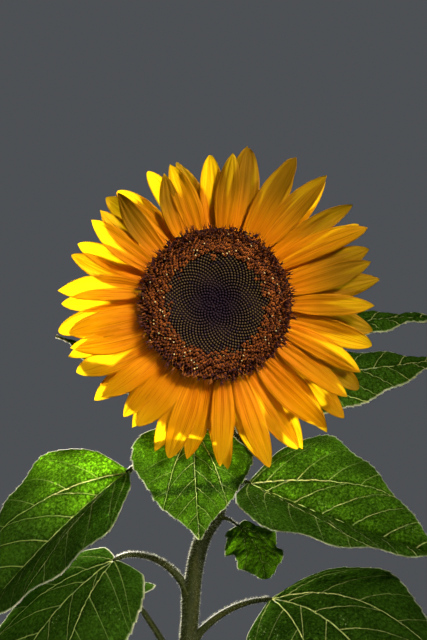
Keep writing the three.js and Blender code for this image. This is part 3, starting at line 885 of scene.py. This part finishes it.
def bladeAt(leaf, s, t):
    # P = mid(s) + half t cos(fold) side' - back ahead + (lift + relief) up', where side' and up'
    # are turned about the midrib by the roll, and half has saw teeth near the margin, no two quite
    # alike. Returns P, up', the place on the flat blade and half.
    length, width = leaf["blade"][:2]
    number = leaf["number"]
    swell = bladeSwell(leaf, s)
    turn = s * length / leafMake["toothStep"] + 0.37 * np.sign(t) + number
    tooth = (fraction(turn) ** 1.4 - 0.4) * leafMake["tooth"] * (0.65 + 0.7 * scatter(np.floor(turn)))
    tooth = tooth * np.abs(t) ** 9 * smooth(0, 0.1, s) * smooth(1, 0.93, s)
    half = width / 2 * swell + mix(1.6, 0.35, smooth(0.5, 1, s)) + tooth
    back = lobeBack(leaf, s, t, swell) * length
    x, y = half * t / length, s - back / length
    fold = math.radians(leaf["fold"])
    ripple = np.sin(2 * math.pi * s * length / (leafMake["waveLength"] * min(1, length / 150))
                    + 1.9 * np.sign(t) + 2.4 * number)
    lift = (half * (np.abs(t) * math.sin(fold) - 0.3 * t * t)
            + leafMake["wave"] * leaf.get("wave", 1) * np.abs(t) ** 2.6 * ripple * smooth(0, 0.25, s)
            + leafRelief(x, y, t, number) * leaf.get("quilt", 1))
    ahead, side, up = leaf["midrib"].frame(np.clip(s, 0.02, 0.98))
    roll = np.radians(mix(*leaf["roll"], s))
    upward = spoke(up, -side, roll)
    point = (leaf["midrib"].at(s) + spoke(side, up, roll) * (half * t * math.cos(fold))[..., None]
             - ahead * back[..., None] + upward * lift[..., None])
    return point, upward, x, y, half


def bladeShell(leaf, rows, columns):
    # the blade itself, with rows closer at its base and columns closer at its midrib
    length = leaf["blade"][0]
    s = np.linspace(0, 1, rows + 1)[:, None] ** 1.4
    even = np.linspace(-1, 1, 2 * columns + 1)
    s, t = np.broadcast_arrays(s, (np.sign(even) * np.abs(even) ** 1.25)[None])
    point, upward, x, y, half = bladeAt(leaf, s, t)
    thick = leafMake["thick"] / 2 * (1 - 0.55 * t * t) * smooth(1.15, 0.8, s)
    step = upward * thick[..., None]
    place = together(x, y, (1 - np.abs(t)) * half / length)[None]
    plain = 0.3 + 0.5 * scatter(leaf["number"] + 300)
    # painted sun and shade from base to tip where the leaf has them, else one plain random tone
    toneAndLight = mix(*leaf.get("paintedSun", (plain, plain)), smooth(0.05, 0.7, s))
    return shells((point + step)[None], (point - step)[None], t[0], s[:, 0], np.array([[0, 0.07, 1, 0.93]]),
                  {"blade": (place, place), "leaf": bothSides(toneAndLight[None], half[None] / length)})


def cordRings(point, upward, radius, drop=0.0):
    # rings of a radius about each point, or at the drop under it
    aside = unit(np.cross(unit(np.gradient(point, axis=0)), upward))
    spokes = spoke(aside[:, None], upward[:, None], turns(leafMake["ribSides"]))
    return (point - upward * np.reshape(drop, (-1, 1)))[:, None] + radius[:, None, None] * spokes


def veinPaths():
    # Flat places (x, y) along the main side veins, each with its radii at foot and tip in 200ths
    # of the blade's length and with the halves of the blade (-1 or 1) that have it.
    rows = leafMake["ribRows"]
    p = np.linspace(0.0, 0.72, rows)
    x, y = leaned(p, -veins["basalBend"] * p * p, veins["basalAngle"])
    paths = [(x, veins["base"] + y, 1.25, 0.3, (-1, 1))]
    kind = veins["lateral"]
    x = np.linspace(0, 0.42, rows)
    bent = x / math.tan(math.radians(kind["angle"])) + x * x * kind["bend"]
    for hand, shift in ((-1, 0), (1, kind["shift"])):
        for n in range(7):
            start = veins["base"] + kind["first"] + (n - shift) * kind["step"]
            paths.append((x, start + bent, 0.8 - 0.05 * n, 0.2, (hand,)))
    return paths


def veinRing(leaf, x, y, foot, tip, hand):
    # Rings of a rib on the back of the blade, as far as the vein stays inside it: s is found from
    # y = s - back by three rounds of s = y + back(s). Nothing comes back if it is too short.
    length, width = leaf["blade"][:2]
    rows = leafMake["ribRows"]
    fine = np.linspace(0, 1, 200)
    swell = width / 2 * bladeSwell(leaf, fine) / length
    s = np.clip(y, 0, 1)
    for _ in range(3):
        half = np.interp(s, fine, swell) + 1e-4
        s = np.clip(y + lobeBack(leaf, s, np.clip(x / half, 0, 1), half * length / (width / 2)), 0, 1)
    half = np.interp(s, fine, swell) + 1e-4
    inside = (x / half < 0.93) & (y < 0.97)
    count = len(x) if inside.all() else int(np.argmin(inside))
    if count < 5:
        return []
    keep = np.linspace(0, count - 1, rows)
    x, s, half = between(keep, np.arange(len(x)), np.stack([x, s, half], -1)).T
    point, upward, *_ = bladeAt(leaf, s, hand * np.minimum(x / half, 0.93))
    radius = mix(foot, tip, np.linspace(0, 1, rows) ** 0.7) * length / 200
    return [cordRings(point, upward, radius, 0.55 * radius + 0.2)]


def leafVeins(leaf):
    # round ribs along the back of the blade: the midrib, the two basal veins and the laterals
    rows = leafMake["ribRows"]
    rings = veinRing(leaf, np.zeros(rows), np.linspace(0.0, 0.96, rows), 2.3, 0.35, 1)
    for *path, hands in veinPaths():
        for hand in hands:
            rings += veinRing(leaf, *path, hand)
    rings = np.stack(rings)
    field = np.zeros(rings.shape)
    field[..., 1] = np.linspace(0, 1, rows)[None, :, None]
    return tubes(rings, mapCells(len(rings), len(rings), 0.0, 0.05), {"leaf": field}, 1)


def marginRim(leaf):
    # a pale round cord that runs along the whole margin, with both its ends at the tip
    run = np.linspace(-1, 1, 2 * leafMake["rimRows"] + 1)
    s = mix(0.985, 0.012, np.cos(run * math.pi / 2) ** 0.8)
    t = np.sign(run + 1e-9) * np.clip(np.abs(run) * 12, 0, 1)
    point, upward, *_ = bladeAt(leaf, s, t)
    radius = leafMake["rim"] * (0.75 + 0.5 * scatter(np.arange(len(run)) + leaf["number"])) * (1.1 - s)
    rings = cordRings(point, upward, np.maximum(radius, 0.12))
    field = np.zeros((1, *rings.shape))
    field[..., 0] = 1
    return tubes(rings[None], np.array([[0.03, 0.052, 0.9, 0.015]]), {"hair": field}, 2)


def marginHairs(leaf):
    # fine hairs that stand out from the margin of the blade, leaning towards its tip
    n = np.arange(int(1.1 * leaf["blade"][0] / leafMake["hairStep"]))
    s = mix(0.02, 0.995, ((n + scatter(n + 7 * leaf["number"])) / len(n)) ** 1.25)
    long = leafMake["hairLength"] * (0.6 + 0.8 * scatter(n + 51))
    parts = []
    for hand in (-1.0, 1.0):
        t = np.full(len(n), hand)
        edge, inner, ahead = [bladeAt(leaf, *at)[0] for at in (
            (s, t), (s, t * 0.97), (np.minimum(s + 0.004, 1), t))]
        way = unit(unit(edge - inner) + 0.5 * unit(ahead - edge) + 0.8 * wildWays(len(n)))
        parts.append(hairs(edge, way, long, leafMake["hairWidth"], (0.0, 0.052, 0.02, 0.015), 2))
    return parts


leaves = upperLeaves + [lowerLeaf(k) for k in range(lowerLeaves["count"])]
knots = []                      # where on the stem a leaf stalk leaves it: length and angle
for number, leaf in enumerate(leaves):
    leaf["number"] = number
    leaf["stalkPath"], leaf["midrib"] = leafPaths(leaf)
    at = lineAtHeight(leaf["height"])
    _, side, front = stemFrame(at)
    way = direction(leaf["stalk"][1], 0)
    knots.append((lengthAt(at), math.atan2(way @ front, way @ side)))
    kind = ("lowRows", "lowColumns") if leaf["name"].startswith("lower") else ("rows", "columns")
    parts = [bladeShell(leaf, *[leafMake[key] for key in kind]), leafVeins(leaf), marginRim(leaf),
             *marginHairs(leaf)]
    addPiece("blade_" + leaf["name"], parts, [leafSkin, leafRib, paleHair], "leaf", "leaf_" + leaf["name"])
print("leaves ready:", len(leaves))


# Stalks: the stem in stretches, each with the leaf stalks that leave it

def stalkTube(leaf):
    # Radius = size mix(tip, foot, (1 - f)^1.6), flared where it leaves the stem and grooved above.
    # Returns rings, field, and distances with middle, side, upward and radius there.
    length, sides = leaf["stalk"][0], leafMake["stalkSides"]
    size = np.clip(leaf["blade"][0] / leafMake["stalkBlade"], 0.5, 1.1)
    run = np.linspace(0, 1, int(length / leafMake["stalkStep"]))
    into = np.array(leafMake["into"])
    distance = np.concatenate([run * length, length + into])
    points = np.vstack([leaf["stalkPath"].at(run), leaf["midrib"].at(into / leaf["blade"][0])])
    _, side, up = [np.vstack([a, a[-1:], a[-1:]]) for a in leaf["stalkPath"].frame(run)]
    thin = np.clip(1 - distance / length, 0, 1) ** 1.6
    radius = size * mix(leafMake["stalkTip"], leafMake["stalkFoot"], thin)
    radius[-len(into):] *= leafMake["intoShares"]
    skin = stemRadius(lineAtHeight(leaf["height"]))
    radius = radius * (1 + leafMake["flare"] * np.exp(-((distance - skin) / leafMake["flareLength"]) ** 2))
    angle = turns(sides)
    groove = np.exp(-((angle - math.pi / 2) / leafMake["grooveTurn"]) ** 2)
    groove = 1 - leafMake["groove"] * groove + 0.03 * np.cos(5 * angle)
    rings = points[:, None] + radius[:, None, None] * groove[None, :, None] * spoke(
        side[:, None], up[:, None], angle)
    field = aroundZ(0.8, angle, distance[:, None] / 12 + leaf["number"] * 9)
    return rings, field, distance, np.hstack([points, side, up, radius[:, None]])


def hairDensity(height):
    # hairs on a square millimetre of the stem at a height, and of the leaf stalks that leave it there
    return mix(stem["lowHairs"], stem["highHairs"], smooth(*stem["hairHeights"], height))


def stalkHairs(leaf, distance, line, rng):
    # roots, ways and lengths of hairs spread evenly over a leaf stalk outside the stem
    length = leaf["stalk"][0]
    count = int(length * 2 * math.pi * line[:, -1].mean() * hairDensity(leaf["height"]))
    d, turn = rng.uniform(stem["radius"], length, count), rng.uniform(0, 2 * math.pi, count)
    centre, side, up, radius = np.split(between(d, distance, line), (3, 6, 9), -1)
    out = unit(spoke(side, up, turn))
    way = unit(out + rng.normal(0, 0.28, (count, 3)))
    return centre + out * radius * 0.95, way, stem["hairLength"] * rng.uniform(0.35, 0.85, count)


def stemHairs(low, high, rng):
    # the same for a stretch of the stem, leaning a little down it
    spread = lengthAt([low, high])
    around = 2 * math.pi * stemRadius(np.linspace(low, high, 20)).mean()
    count = int((spread[1] - spread[0]) * around * hairDensity(stemAt((low + high) / 2)[2]))
    f = np.interp(rng.uniform(*spread, count), fineLength, fineLine)
    root, out, along = stemSurface(f, rng.uniform(0, 2 * math.pi, count))
    way = unit(out - along * 0.25 + rng.normal(0, 0.25, (count, 3)))
    return root - out * 0.05, way, stem["hairLength"] * rng.uniform(0.4, 1.15, count)


def stemStretch(name, low, high, leavesHere, nodes, rng):
    # one piece for the skins of the stem and of its leaf stalks, and one for the hairs on them
    spread = lengthAt([low, high])
    rows = int((spread[1] - spread[0]) / stem["rowStep"]) + 1
    f = np.interp(np.linspace(*spread, rows), fineLength, fineLine)
    grid, turn = np.broadcast_arrays(f[:, None], turns(stem["sides"])[None])
    share = 0.5 if leavesHere else 1
    field = aroundZ(2.2, turn, lengthAt(grid) / 12)
    parts = [tubes(stemSurface(grid, turn)[0][None], np.array([[0, 0, share, 1]]), {"stalk": field[None]})]
    grown = [stemHairs(low, high, rng)]
    for leaf, cell in zip(leavesHere, mapCells(max(1, len(leavesHere)), 1)):
        rings, field, distance, line = stalkTube(leaf)
        cell = np.array([[share, cell[1], 1 - share, cell[3]]])
        parts.append(tubes(rings[None], cell, {"stalk": field[None]}))
        grown.append(stalkHairs(leaf, distance, line, rng))
    addPiece("stalk_" + name, parts, [stalkSkin], "stalk", *nodes)
    roots, ways, long = [np.concatenate(values) for values in zip(*grown)]
    made = hairs(roots, ways, long, stem["hairWidth"], (0, 0, 1, 1))
    addPiece("hairs_" + name, [made], [paleHair], "stalk", *nodes)


rng = np.random.default_rng(11)
cuts = lineAtHeight(np.linspace(0, stem["split"], stem["stretches"] + 1))
cuts[0] = 0
names = [f"stretch_{k + 1}" for k in range(stem["stretches"])] + ["neck"]
for name, low, high in zip(names, cuts, [*cuts[1:], 1.0]):
    here = [leaf for leaf in leaves if low <= lineAtHeight(leaf["height"]) < high]
    nodes = ["petiole_" + leaf["name"] for leaf in here] + ["neck" if name == "neck" else "stem"]
    stemStretch(name, low, high, here, nodes, rng)
print("stalks ready")


# Flower. In its own frame X is right, Y is up its face and Z comes out of it.

ray = {
    "length": 84, "width": 22.5, "thick": 0.55, "thin": 0.6,     # thinner by that share at the edge
    "rows": 42, "columns": 7,   # columns on each half
    "sheltered": 9,             # length that lies flat behind the rim of the disc
    "firstAngle": 12,
    "furrows": 3.5, "furrowDepth": 0.42, "ripple": 1.6,
    "chance": 0.9,              # how much duller one ray is than another, at most
    # and how much duller towards an angle round the flower, growing between two cosines, as painted shade on
    # the right and at the top and painted light low on the left
    "dullAndShade": [(0.5, 12, 0.1, 1), (0.3, 105, 0.4, 1), (-0.4, 240, 0, 0.8)],
}
rayRows = {
    "front": dict(first=0, last=21, depth=-1.7, cup=13, reach=0.96),
    "middle": dict(first=21, last=42, depth=-4.8, cup=7.5, reach=1.0),
    "back": dict(first=42, last=55, depth=-7.9, cup=2.5, reach=1.04),
}
bract = {
    "length": 64, "width": 17, "thick": 0.8, "thin": 0.5, "rows": 26, "columns": 5, "sheltered": 4,
    "inset": 1.5,
    "ridges": 3, "ridgeDepth": 0.35, "grooveDepth": 0.5,
    "hairs": 5, "hairLength": 1.7, "hairWidth": 0.11,   # hairs beside each point of the edge
}
bractRows = {
    "inner": dict(count=21, first=91.5, depth=-11.35, cup=-4, longest=1.18),
    "outer": dict(count=13, first=103.4, depth=-15.2, cup=-15, longest=0.98),
}
outward = np.array([0, 0, 1.0])


def fromFlower(points):
    # from the flower's own frame to the plant's
    return headMiddle + points[..., :1] * faceRight + points[..., 1:2] * faceUp + points[..., 2:] * faceOut


def uneven(angle):
    # the flower isn't quite round: its rays reach furthest to the right and low down
    return 0.05 * np.cos(np.radians(angle + 20)) - 0.035 * np.cos(3 * np.radians(angle - 110))


def outgrowth(make, shape):
    # Long blades out of the rim. With s = 1 - (1 - v)^1.25 one reaches out by length s, rises by
    # depth + tan(cup) (length s - sheltered) - reflex s^3, hollows by arch half (4 x^2 - 1), sways
    # aside by sway s^2 and rolls by roll s + twist s^3. Each number in shape has a value for each.
    value = {key: np.reshape(number, (-1, 1, 1)) for key, number in shape.items() if key != "swell"}
    s = (1 - (1 - np.linspace(0, 1, make["rows"])) ** 1.25)[None, :, None]
    x = np.linspace(-0.5, 0.5, 2 * make["columns"] + 1)[None, None]
    reach = value["length"] * s
    half = np.maximum(value["width"] / 2 * shape["swell"](s, value["blunt"]), 0.25)
    free = np.maximum(0, reach - make["sheltered"])
    across = 2 * x * half
    roll = np.radians(value["roll"] * s + value["twist"] * s ** 3)
    height = (value["depth"] + np.tan(np.radians(value["cup"])) * free - value["reflex"] * s ** 3
              + value["arch"] * half * (4 * x * x - 1) + across * np.sin(roll))
    aside = across * np.cos(roll) + value["sway"] * s * s
    out = value["root"] + reach
    sine, cosine = np.sin(np.radians(value["angle"])), np.cos(np.radians(value["angle"]))
    centre = together(cosine * out - sine * aside, sine * out + cosine * aside, height)
    return centre, s, x


def outgrownShells(make, shape, relief, seed, toneAndLight, cells):
    # the blades with their relief and thickness, and for the materials the place across and along,
    # a seed for each, its tone (painted shade on the rays) and which side is up; also the middle surface
    centre, s, x = outgrowth(make, shape)
    centre = centre + relief(s, x)[..., None] * outward
    thick = make["thick"] / 2 * (1 - make["thin"] * (2 * x) ** 2) * smooth(1.1, 0.7, s)
    step = thick[..., None] * outward
    seeds, tonesAndLight = [np.broadcast_to(np.reshape(a, (-1, 1, 1)), centre.shape[:-1]) for a in (seed, toneAndLight)]
    place = together(2 * x, s, seeds)
    made = shells(fromFlower(centre + step), fromFlower(centre - step), 2 * x[0, 0], s[0, :, 0], cells,
                  {"ray": (place, place), "leaf": bothSides(tonesAndLight, seeds)})
    return made, centre


def raySwell(s, blunt):
    # (1 - exp(-(s + 0.1) / 0.28)) (1 - s^4.5)^(1 - blunt) / 0.86, the half-width of a ray
    return (1 - np.exp(-(s + 0.1) / 0.28)) * (1 - s ** 4.5) ** (1 - blunt) / 0.86


def bractSwell(s, blunt):
    # (1 - s)^0.9 (0.75 + 0.9 s) + 0.03, the half-width of a bract, none of them blunt
    return (1 - s) ** (0.9 - blunt) * (0.75 + 0.9 * s) + 0.03


def rayShells(row):
    # furrows run along each ray and its two edges ripple opposite ways
    i = np.arange(row["first"], row["last"])
    angle = i * goldenAngle + ray["firstAngle"]
    shape = dict(
        root=flower["root"], angle=angle, swell=raySwell, blunt=0.5 * scatter(i + 600), depth=row["depth"],
        length=ray["length"] * (row["reach"] + 1.8 * uneven(angle) + jitter(i, 0.12)),
        width=ray["width"] * (0.9 + 0.24 * scatter(i + 100)), cup=row["cup"] + jitter(i + 200, 3),
        reflex=4 * scatter(i + 300), arch=0.13 + 0.5 * (scatter(i + 700) - 0.45),
        roll=jitter(i + 400, 30), twist=jitter(i + 800, 60), sway=jitter(i + 500, 30))

    def relief(s, x):
        furrow = np.cos(2 * math.pi * ray["furrows"] * x + 1.3 * np.sin(2.2 * s + i[:, None, None] * 0.71))
        ripple = np.sin(2 * math.pi * (1.6 * s + scatter(i + 900)[:, None, None])) * np.sign(x)
        return (ray["furrowDepth"] * furrow * smooth(0, 0.12, s) * smooth(1.02, 0.8, s)
                + ray["ripple"] * ripple * (2 * x) ** 2 * smooth(0.15, 0.6, s) * smooth(1.05, 0.85, s))

    # each ray's dullness at random, with painted shade and light by its angle round the flower
    dullAndShade = ray["chance"] * scatter(i + 950) + sum(
        share * smooth(low, high, np.cos(np.radians(angle - towards)))
        for share, towards, low, high in ray["dullAndShade"])
    return outgrownShells(ray, shape, relief, i * 0.1, dullAndShade, mapCells(len(i), 3))[0]


def bractShells(row):
    # three ridges and a groove along the middle, with a fringe of hairs on both edges
    i = np.arange(row["count"])
    shape = dict(
        root=flower["root"] - bract["inset"], angle=row["first"] + i * 360 / row["count"],
        swell=bractSwell, blunt=0, depth=row["depth"],
        length=bract["length"] * np.where(i == 0, row["longest"], 0.86 + 0.22 * scatter(i + row["first"])),
        width=bract["width"] * (0.92 + 0.16 * scatter(i + 31)), cup=row["cup"] - 5 * scatter(i + 61),
        reflex=3 * scatter(i + 71), arch=0.1, roll=jitter(i + 81, 8), twist=jitter(i + 85, 30),
        sway=jitter(i + 91, 6))

    def relief(s, x):
        ridges = np.cos(2 * math.pi * bract["ridges"] * x) * smooth(1, 0.6, s)
        return bract["ridgeDepth"] * ridges - bract["grooveDepth"] * np.exp(-(x / 0.08) ** 2)

    body, centre = outgrownShells(bract, shape, relief, i * 0.13, scatter(i + 77),
                                  mapCells(len(i), 3, 0.03, 1.0))
    edge, inner, after = [np.repeat(centre[:, rows, columns].reshape(-1, 3), bract["hairs"], 0)
                          for rows, columns in ((slice(1, -1), [0, -1]), (slice(1, -1), [1, -2]),
                                                (slice(2, None), [0, -1]))]
    n = np.arange(len(edge))
    step = after - edge
    ways = unit(unit(edge - inner) + unit(step) * 0.6 + wildWays(len(n)) * 0.9)
    long = bract["hairLength"] * (0.6 + 0.7 * scatter(n + 41))
    fringe = hairs(fromFlower(edge + step * scatter(n + 5)[:, None]), unit(fromFlower(ways) - headMiddle),
                   long, bract["hairWidth"], (0, 0, 0.03, 0.03), 1)
    return [body, fringe]


for name, row in rayRows.items():
    addPiece("rays_" + name + "_petals", [rayShells(row)], [raySkin], "ray", "rays_" + name)
for name, row in bractRows.items():
    addPiece("bracts_" + name + "_scales", bractShells(row), [bractSkin, paleHair], "bract", "bracts_" + name)
print("rays and bracts ready")


# Receptacle: the green pad behind the flower, which runs into the neck

pad = {
    "profile": [(0.5, -0.3), (64, -0.3), (64.5, -8), (64, -16.8), (60, -21), (52, -25.5), (38.5, -32.5),
                (24, -37), (14, -39.6), (10.6, -41), (9.0, -43.5), (0.5, -44.5)],
    "rows": 60, "sides": 84, "ribs": 13,
}


def padRings():
    # a turned profile, its radius times 1 + 0.022 cos(ribs a) + 0.01 sin(5 a + depth / 6), the
    # ribs only towards the neck
    profile = np.array(pad["profile"], float)
    at = np.linspace(0, len(profile) - 1, pad["rows"])
    radius, depth = between(at, np.arange(len(profile)), profile).T[..., None]
    turn = turns(pad["sides"])[None]
    behind = smooth(-16, -30, depth)
    radius = radius * (1 + 0.022 * np.cos(pad["ribs"] * turn) * behind + 0.01 * np.sin(5 * turn + depth / 6))
    return fromFlower(aroundZ(radius, turn, depth)), aroundZ(5, turn, (radius + depth) / 14)


rings, field = padRings()
padPart = tubes(rings[None], mapCells(1, 1), {"stalk": field[None]})
addPiece("receptacle_pad", [padPart], [stalkSkin], "receptacle", "receptacle")


# Disc: florets in a spiral by the golden angle, buds in the middle and open ones at the rim

disc = {
    "florets": 2140,
    "spread": 1.46,             # radius = spread sqrt(number)
    "budTo": 0.64, "openTo": 0.86,   # shares of the disc's radius where each kind ends
    "mixed": 0.13,              # how far the kinds run into each other
    "pollenShare": 0.07,
    "seatDrop": 1.6,            # how far the florets' feet lie under the dome
    "mapReach": 80,             # the map is a view from the front, this far to each side
    "seatRows": 24, "seatSides": 96,
}
dome = np.array([(0, 8.6), (28, 10.4), (50.4, 11), (60, 9.6), (66, 7.4), (70, 3.4), (75, -1.5)])
floretShapes = {                # radius and height of each ring
    "bud": [(1.0, 0), (1.25, 1.2), (1.12, 2.2), (0.7, 3.0), (0.3, 3.4)],
    "open": [(0.6, 0), (0.75, 1.6), (0.9, 2.8), (1.5, 3.6), (0.8, 3.4)],
    "column": [(0.42, 0), (0.48, 3.2), (0.55, 4.9), (0.36, 5.6), (0.1, 6.0)],
    "grain": [(0.2, 4.9), (0.68, 5.4), (0.68, 6.0), (0.15, 6.5)],
    "rim": [(0.7, 0), (0.8, 1.5), (1.25, 2.6), (0.7, 2.9)],
    "rimColumn": [(0.5, 0), (0.55, 3.2), (0.68, 4.8), (0.6, 6.2), (0.3, 7.2)],
    "stigma": [(0.2, 0), (0.22, 5.3), (0.27, 7.0), (0.2, 8.0), (0.06, 9.0)],
    "rimGrain": [(0.2, 4.6), (0.55, 5.0), (0.55, 5.6), (0.12, 6.0)],
}


def domeHeight(radius):
    return np.interp(radius, dome[:, 0], dome[:, 1]) - disc["seatDrop"]


def floretFrames(number):
    # a spiral: radius = spread sqrt(number + 0.5), angle = number times the golden angle
    radius = disc["spread"] * np.sqrt(number + 0.5)
    angle = number * goldenAngle
    out = direction(angle, 0)
    foot = out * radius[:, None]
    foot[:, 2] = domeHeight(radius)
    return radius, out, direction(angle + 90, 0), foot


def mapFromFront(part, points):
    # every corner is mapped where it stands seen from the front of the flower
    flat = (points.reshape(-1, 3)[:, :2] / disc["mapReach"] + 1) / 2
    part["uv"] = [flat[faces] for faces in part["faces"]]
    return part


def floretTubes(number, kind, lean, bend, sides, scale, turned=0.0, offset=None, material=0):
    # Rings of a radius at a height along an axis that leans out by lean degrees and bends on by
    # bend degrees over its height.
    radius, out, aside, foot = floretFrames(number)
    profile = np.array(floretShapes[kind], float)
    high = profile[:, 1] / profile[-1, 1]
    lean = np.radians(np.reshape(lean, (-1, 1)) + np.reshape(bend, (-1, 1)) * high[None])
    axis = spoke(outward, out[:, None], lean)
    gaps = np.diff(profile[:, 1], prepend=0.0)[None, :, None] * np.reshape(scale, (-1, 1, 1))
    centre = foot[:, None] + np.cumsum(axis * gaps, 1)
    if offset is not None:
        centre = centre + offset[:, None] * high[None, :, None]
    first = unit(np.cross(aside[:, None], axis))
    wide = profile[:, 0][None, :, None, None] * np.reshape(scale, (-1, 1, 1, 1))
    rings = centre[:, :, None] + wide * spoke(first[:, :, None], aside[:, None, None], turns(sides) + turned)
    share = np.broadcast_to((radius / flower["discRadius"])[:, None, None], rings.shape[:3])
    field = together(high[None, :, None], share, (number * 0.013)[:, None, None])
    made = tubes(fromFlower(rings), np.zeros((len(number), 4)), {"floret": field}, material)
    return mapFromFront(made, rings)


number = np.arange(disc["florets"])
share = disc["spread"] * np.sqrt(number + 0.5) / flower["discRadius"]
wobble = jitter(number + 5, disc["mixed"]) * (0.3 + scatter(number + 9))
budEnd = share + wobble < disc["budTo"]
openEnd = share + wobble < disc["openTo"]

n = number[budEnd]
buds = floretTubes(n, "bud", 8 * share[n], 0, 6, 0.92 + 0.14 * scatter(n))
addPiece("disc_buds", [buds], [budSkin], "disc", "disc")

n = number[~budEnd & openEnd]
size = 0.85 + 0.35 * scatter(n + 60)
lean = 16 * share[n] + jitter(n + 61, 30)
pollen = n[scatter(n + 64) < disc["pollenShare"]]
openParts = [
    floretTubes(n, "open", lean, 0, 5, size, turned=0.6),
    floretTubes(n, "column", lean, jitter(n + 63, 14), 5, size, material=1),
    floretTubes(pollen, "grain", 8, 0, 6, 0.8 + 0.3 * scatter(pollen), material=2)]
addPiece("disc_open", openParts, [openSkin, antherSkin, pollenSkin], "disc", "disc")

n = number[~openEnd]
size = 0.85 + 0.5 * scatter(n + 70)
lean = mix(4, 34, smooth(0.86, 0.98, share[n])) + jitter(n + 71, 44)
rimParts = [floretTubes(n, "rim", lean, 0, 5, size, material=1),
            floretTubes(n, "rimColumn", lean, jitter(n + 73, 24), 5, size)]
_, out, aside, _ = floretFrames(n)
for hand in (-1, 1):
    curl = aside * (hand * 1.3) + out * (1.4 * (scatter(n + 74 + hand) - 0.3))[:, None]
    rimParts.append(floretTubes(n, "stigma", lean, 30 * (scatter(n + 75 + hand) - 0.4), 4, size, offset=curl))
pollen = n[scatter(n + 76) < disc["pollenShare"] * 0.8]
rimParts.append(floretTubes(pollen, "rimGrain", 30, 0, 6, 0.9 + 0 * pollen, material=2))
addPiece("disc_rim", rimParts, [antherSkin, openSkin, pollenSkin], "disc", "disc")


def seatPart():
    # the dome under the florets, closed underneath
    radius = np.array([0.4, *np.linspace(flower["discRadius"], 2, disc["seatRows"]), 0.4])
    depth = domeHeight(radius) + 0.1
    depth[0] = 0
    rings = aroundZ(radius[:, None], turns(disc["seatSides"])[None], depth[:, None])
    share = np.broadcast_to(radius[:, None] / flower["discRadius"], rings.shape[:2])
    field = together(0.1, share, share * 3)
    return mapFromFront(tubes(fromFlower(rings)[None], np.zeros((1, 4)), {"floret": field[None]}), rings)


addPiece("disc_seat", [seatPart()], [budSkin], "disc", "disc")
print("flower ready")


# Camera, light and floor

view = {
    "distance": 577,            # camera to the middle of the flower, along the line of sight
    "right": 2.5, "up": 16,     # pixels that the flower stands right of and above the frame's middle
    "lens": 35, "sensor": 36,   # millimetres, for the frame's long side
    "frameHeight": 640,
}

# Lamps in metres and watts: a low sun behind the plant, and soft ones in front for the flower, for
# the leaves below it and for the foot.
lamps = {
    "backSun": dict(kind="SPOT", energy=1800, color=(1.0, 0.94, 0.82), shadow_soft_size=0.035,
                    spot_size=math.radians(20), spot_blend=1.0, target=(-0.19, -0.06, 1.40)),
    "fill": dict(kind="AREA", energy=1.15, size=0.35, place=(1.1, -1.9, 2.5), target=(0.07, -0.1, 1.5),
                 color=(1.0, 0.94, 0.82), spread=math.radians(18)),
    "low": dict(kind="AREA", energy=0.21, size=0.26, place=(0.20, -0.60, 1.12), target=(0.06, 0.0, 1.18),
                color=(1.0, 0.93, 0.80), spread=math.radians(60)),
    "foot": dict(kind="AREA", energy=3, size=0.6, place=(-0.9, -1.2, 0.5), target=(0.0, 0.0, 0.35),
                 color=(1.0, 0.97, 0.92), spread=math.radians(50)),
}
studio = {
    "sunFrom": (-0.30, 0.95, 0.20), "sunDistance": 3.0,     # seen from the middle of the flower
    "world": (0.29, 0.31, 0.34), "worldStrength": 0.26,
    "floorHalf": 1.6,
}


def addLamp(name, kind, place, target, **settings):
    # its -Z runs from its place to the target
    data = bpy.data.lights.new(name, kind)
    for key, value in settings.items():
        setattr(data, key, value)
    away = unit(np.array(place, float) - np.array(target, float))
    side = unit(np.cross(outward, away))
    turn = np.stack([side, np.cross(away, side), away], 1)
    addObject(name, data).matrix_world = Matrix([[*turn[i], place[i]] for i in range(3)] + [[0, 0, 0, 1]])


def addCamera():
    step = view["distance"] / (view["lens"] / view["sensor"] * view["frameHeight"])
    data = bpy.data.cameras.new("camera")
    data.sensor_fit = "VERTICAL"
    data.sensor_height, data.lens = view["sensor"], view["lens"]
    data.clip_start = 0.01
    camera = addObject("camera", data)
    camera.location = (headMiddle + faceOut * view["distance"]
                       - (faceRight * view["right"] + faceUp * view["up"]) * step) * metre
    camera.rotation_euler = (math.pi / 2 + nod, 0, 0)
    bpy.context.scene.camera = camera


def addSurroundings():
    world = bpy.data.worlds.new("studio")
    world.use_nodes = True
    backdrop = world.node_tree.nodes["Background"]
    backdrop.inputs["Color"].default_value = (*studio["world"], 1)
    backdrop.inputs["Strength"].default_value = studio["worldStrength"]
    bpy.context.scene.world = world
    half = studio["floorHalf"]
    mesh = bpy.data.meshes.new("floor")
    mesh.from_pydata([(-half, -half, 0), (half, -half, 0), (half, half, 0), (-half, half, 0)], [],
                     [(0, 1, 2, 3)])
    graph = Graph("floorPaint")
    grain = graph.noise(graph.node("TexCoord", output="Object"), 30.0, 3)
    colour = graph.layers((0.60, 0.60, 0.58), (grain, (0.66, 0.66, 0.64)))
    mesh.materials.append(graph.finish(colour, 0.8, None))
    floor = addObject("floor", mesh)
    floor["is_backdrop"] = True


lamps["backSun"]["place"] = headMiddle * metre + unit(np.array(studio["sunFrom"])) * studio["sunDistance"]
for name, lamp in lamps.items():
    addLamp(name, **lamp)
addCamera()
addSurroundings()
bpy.context.scene.view_settings.view_transform = "Standard"
print("studio ready")

size = [list(corner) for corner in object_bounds()]
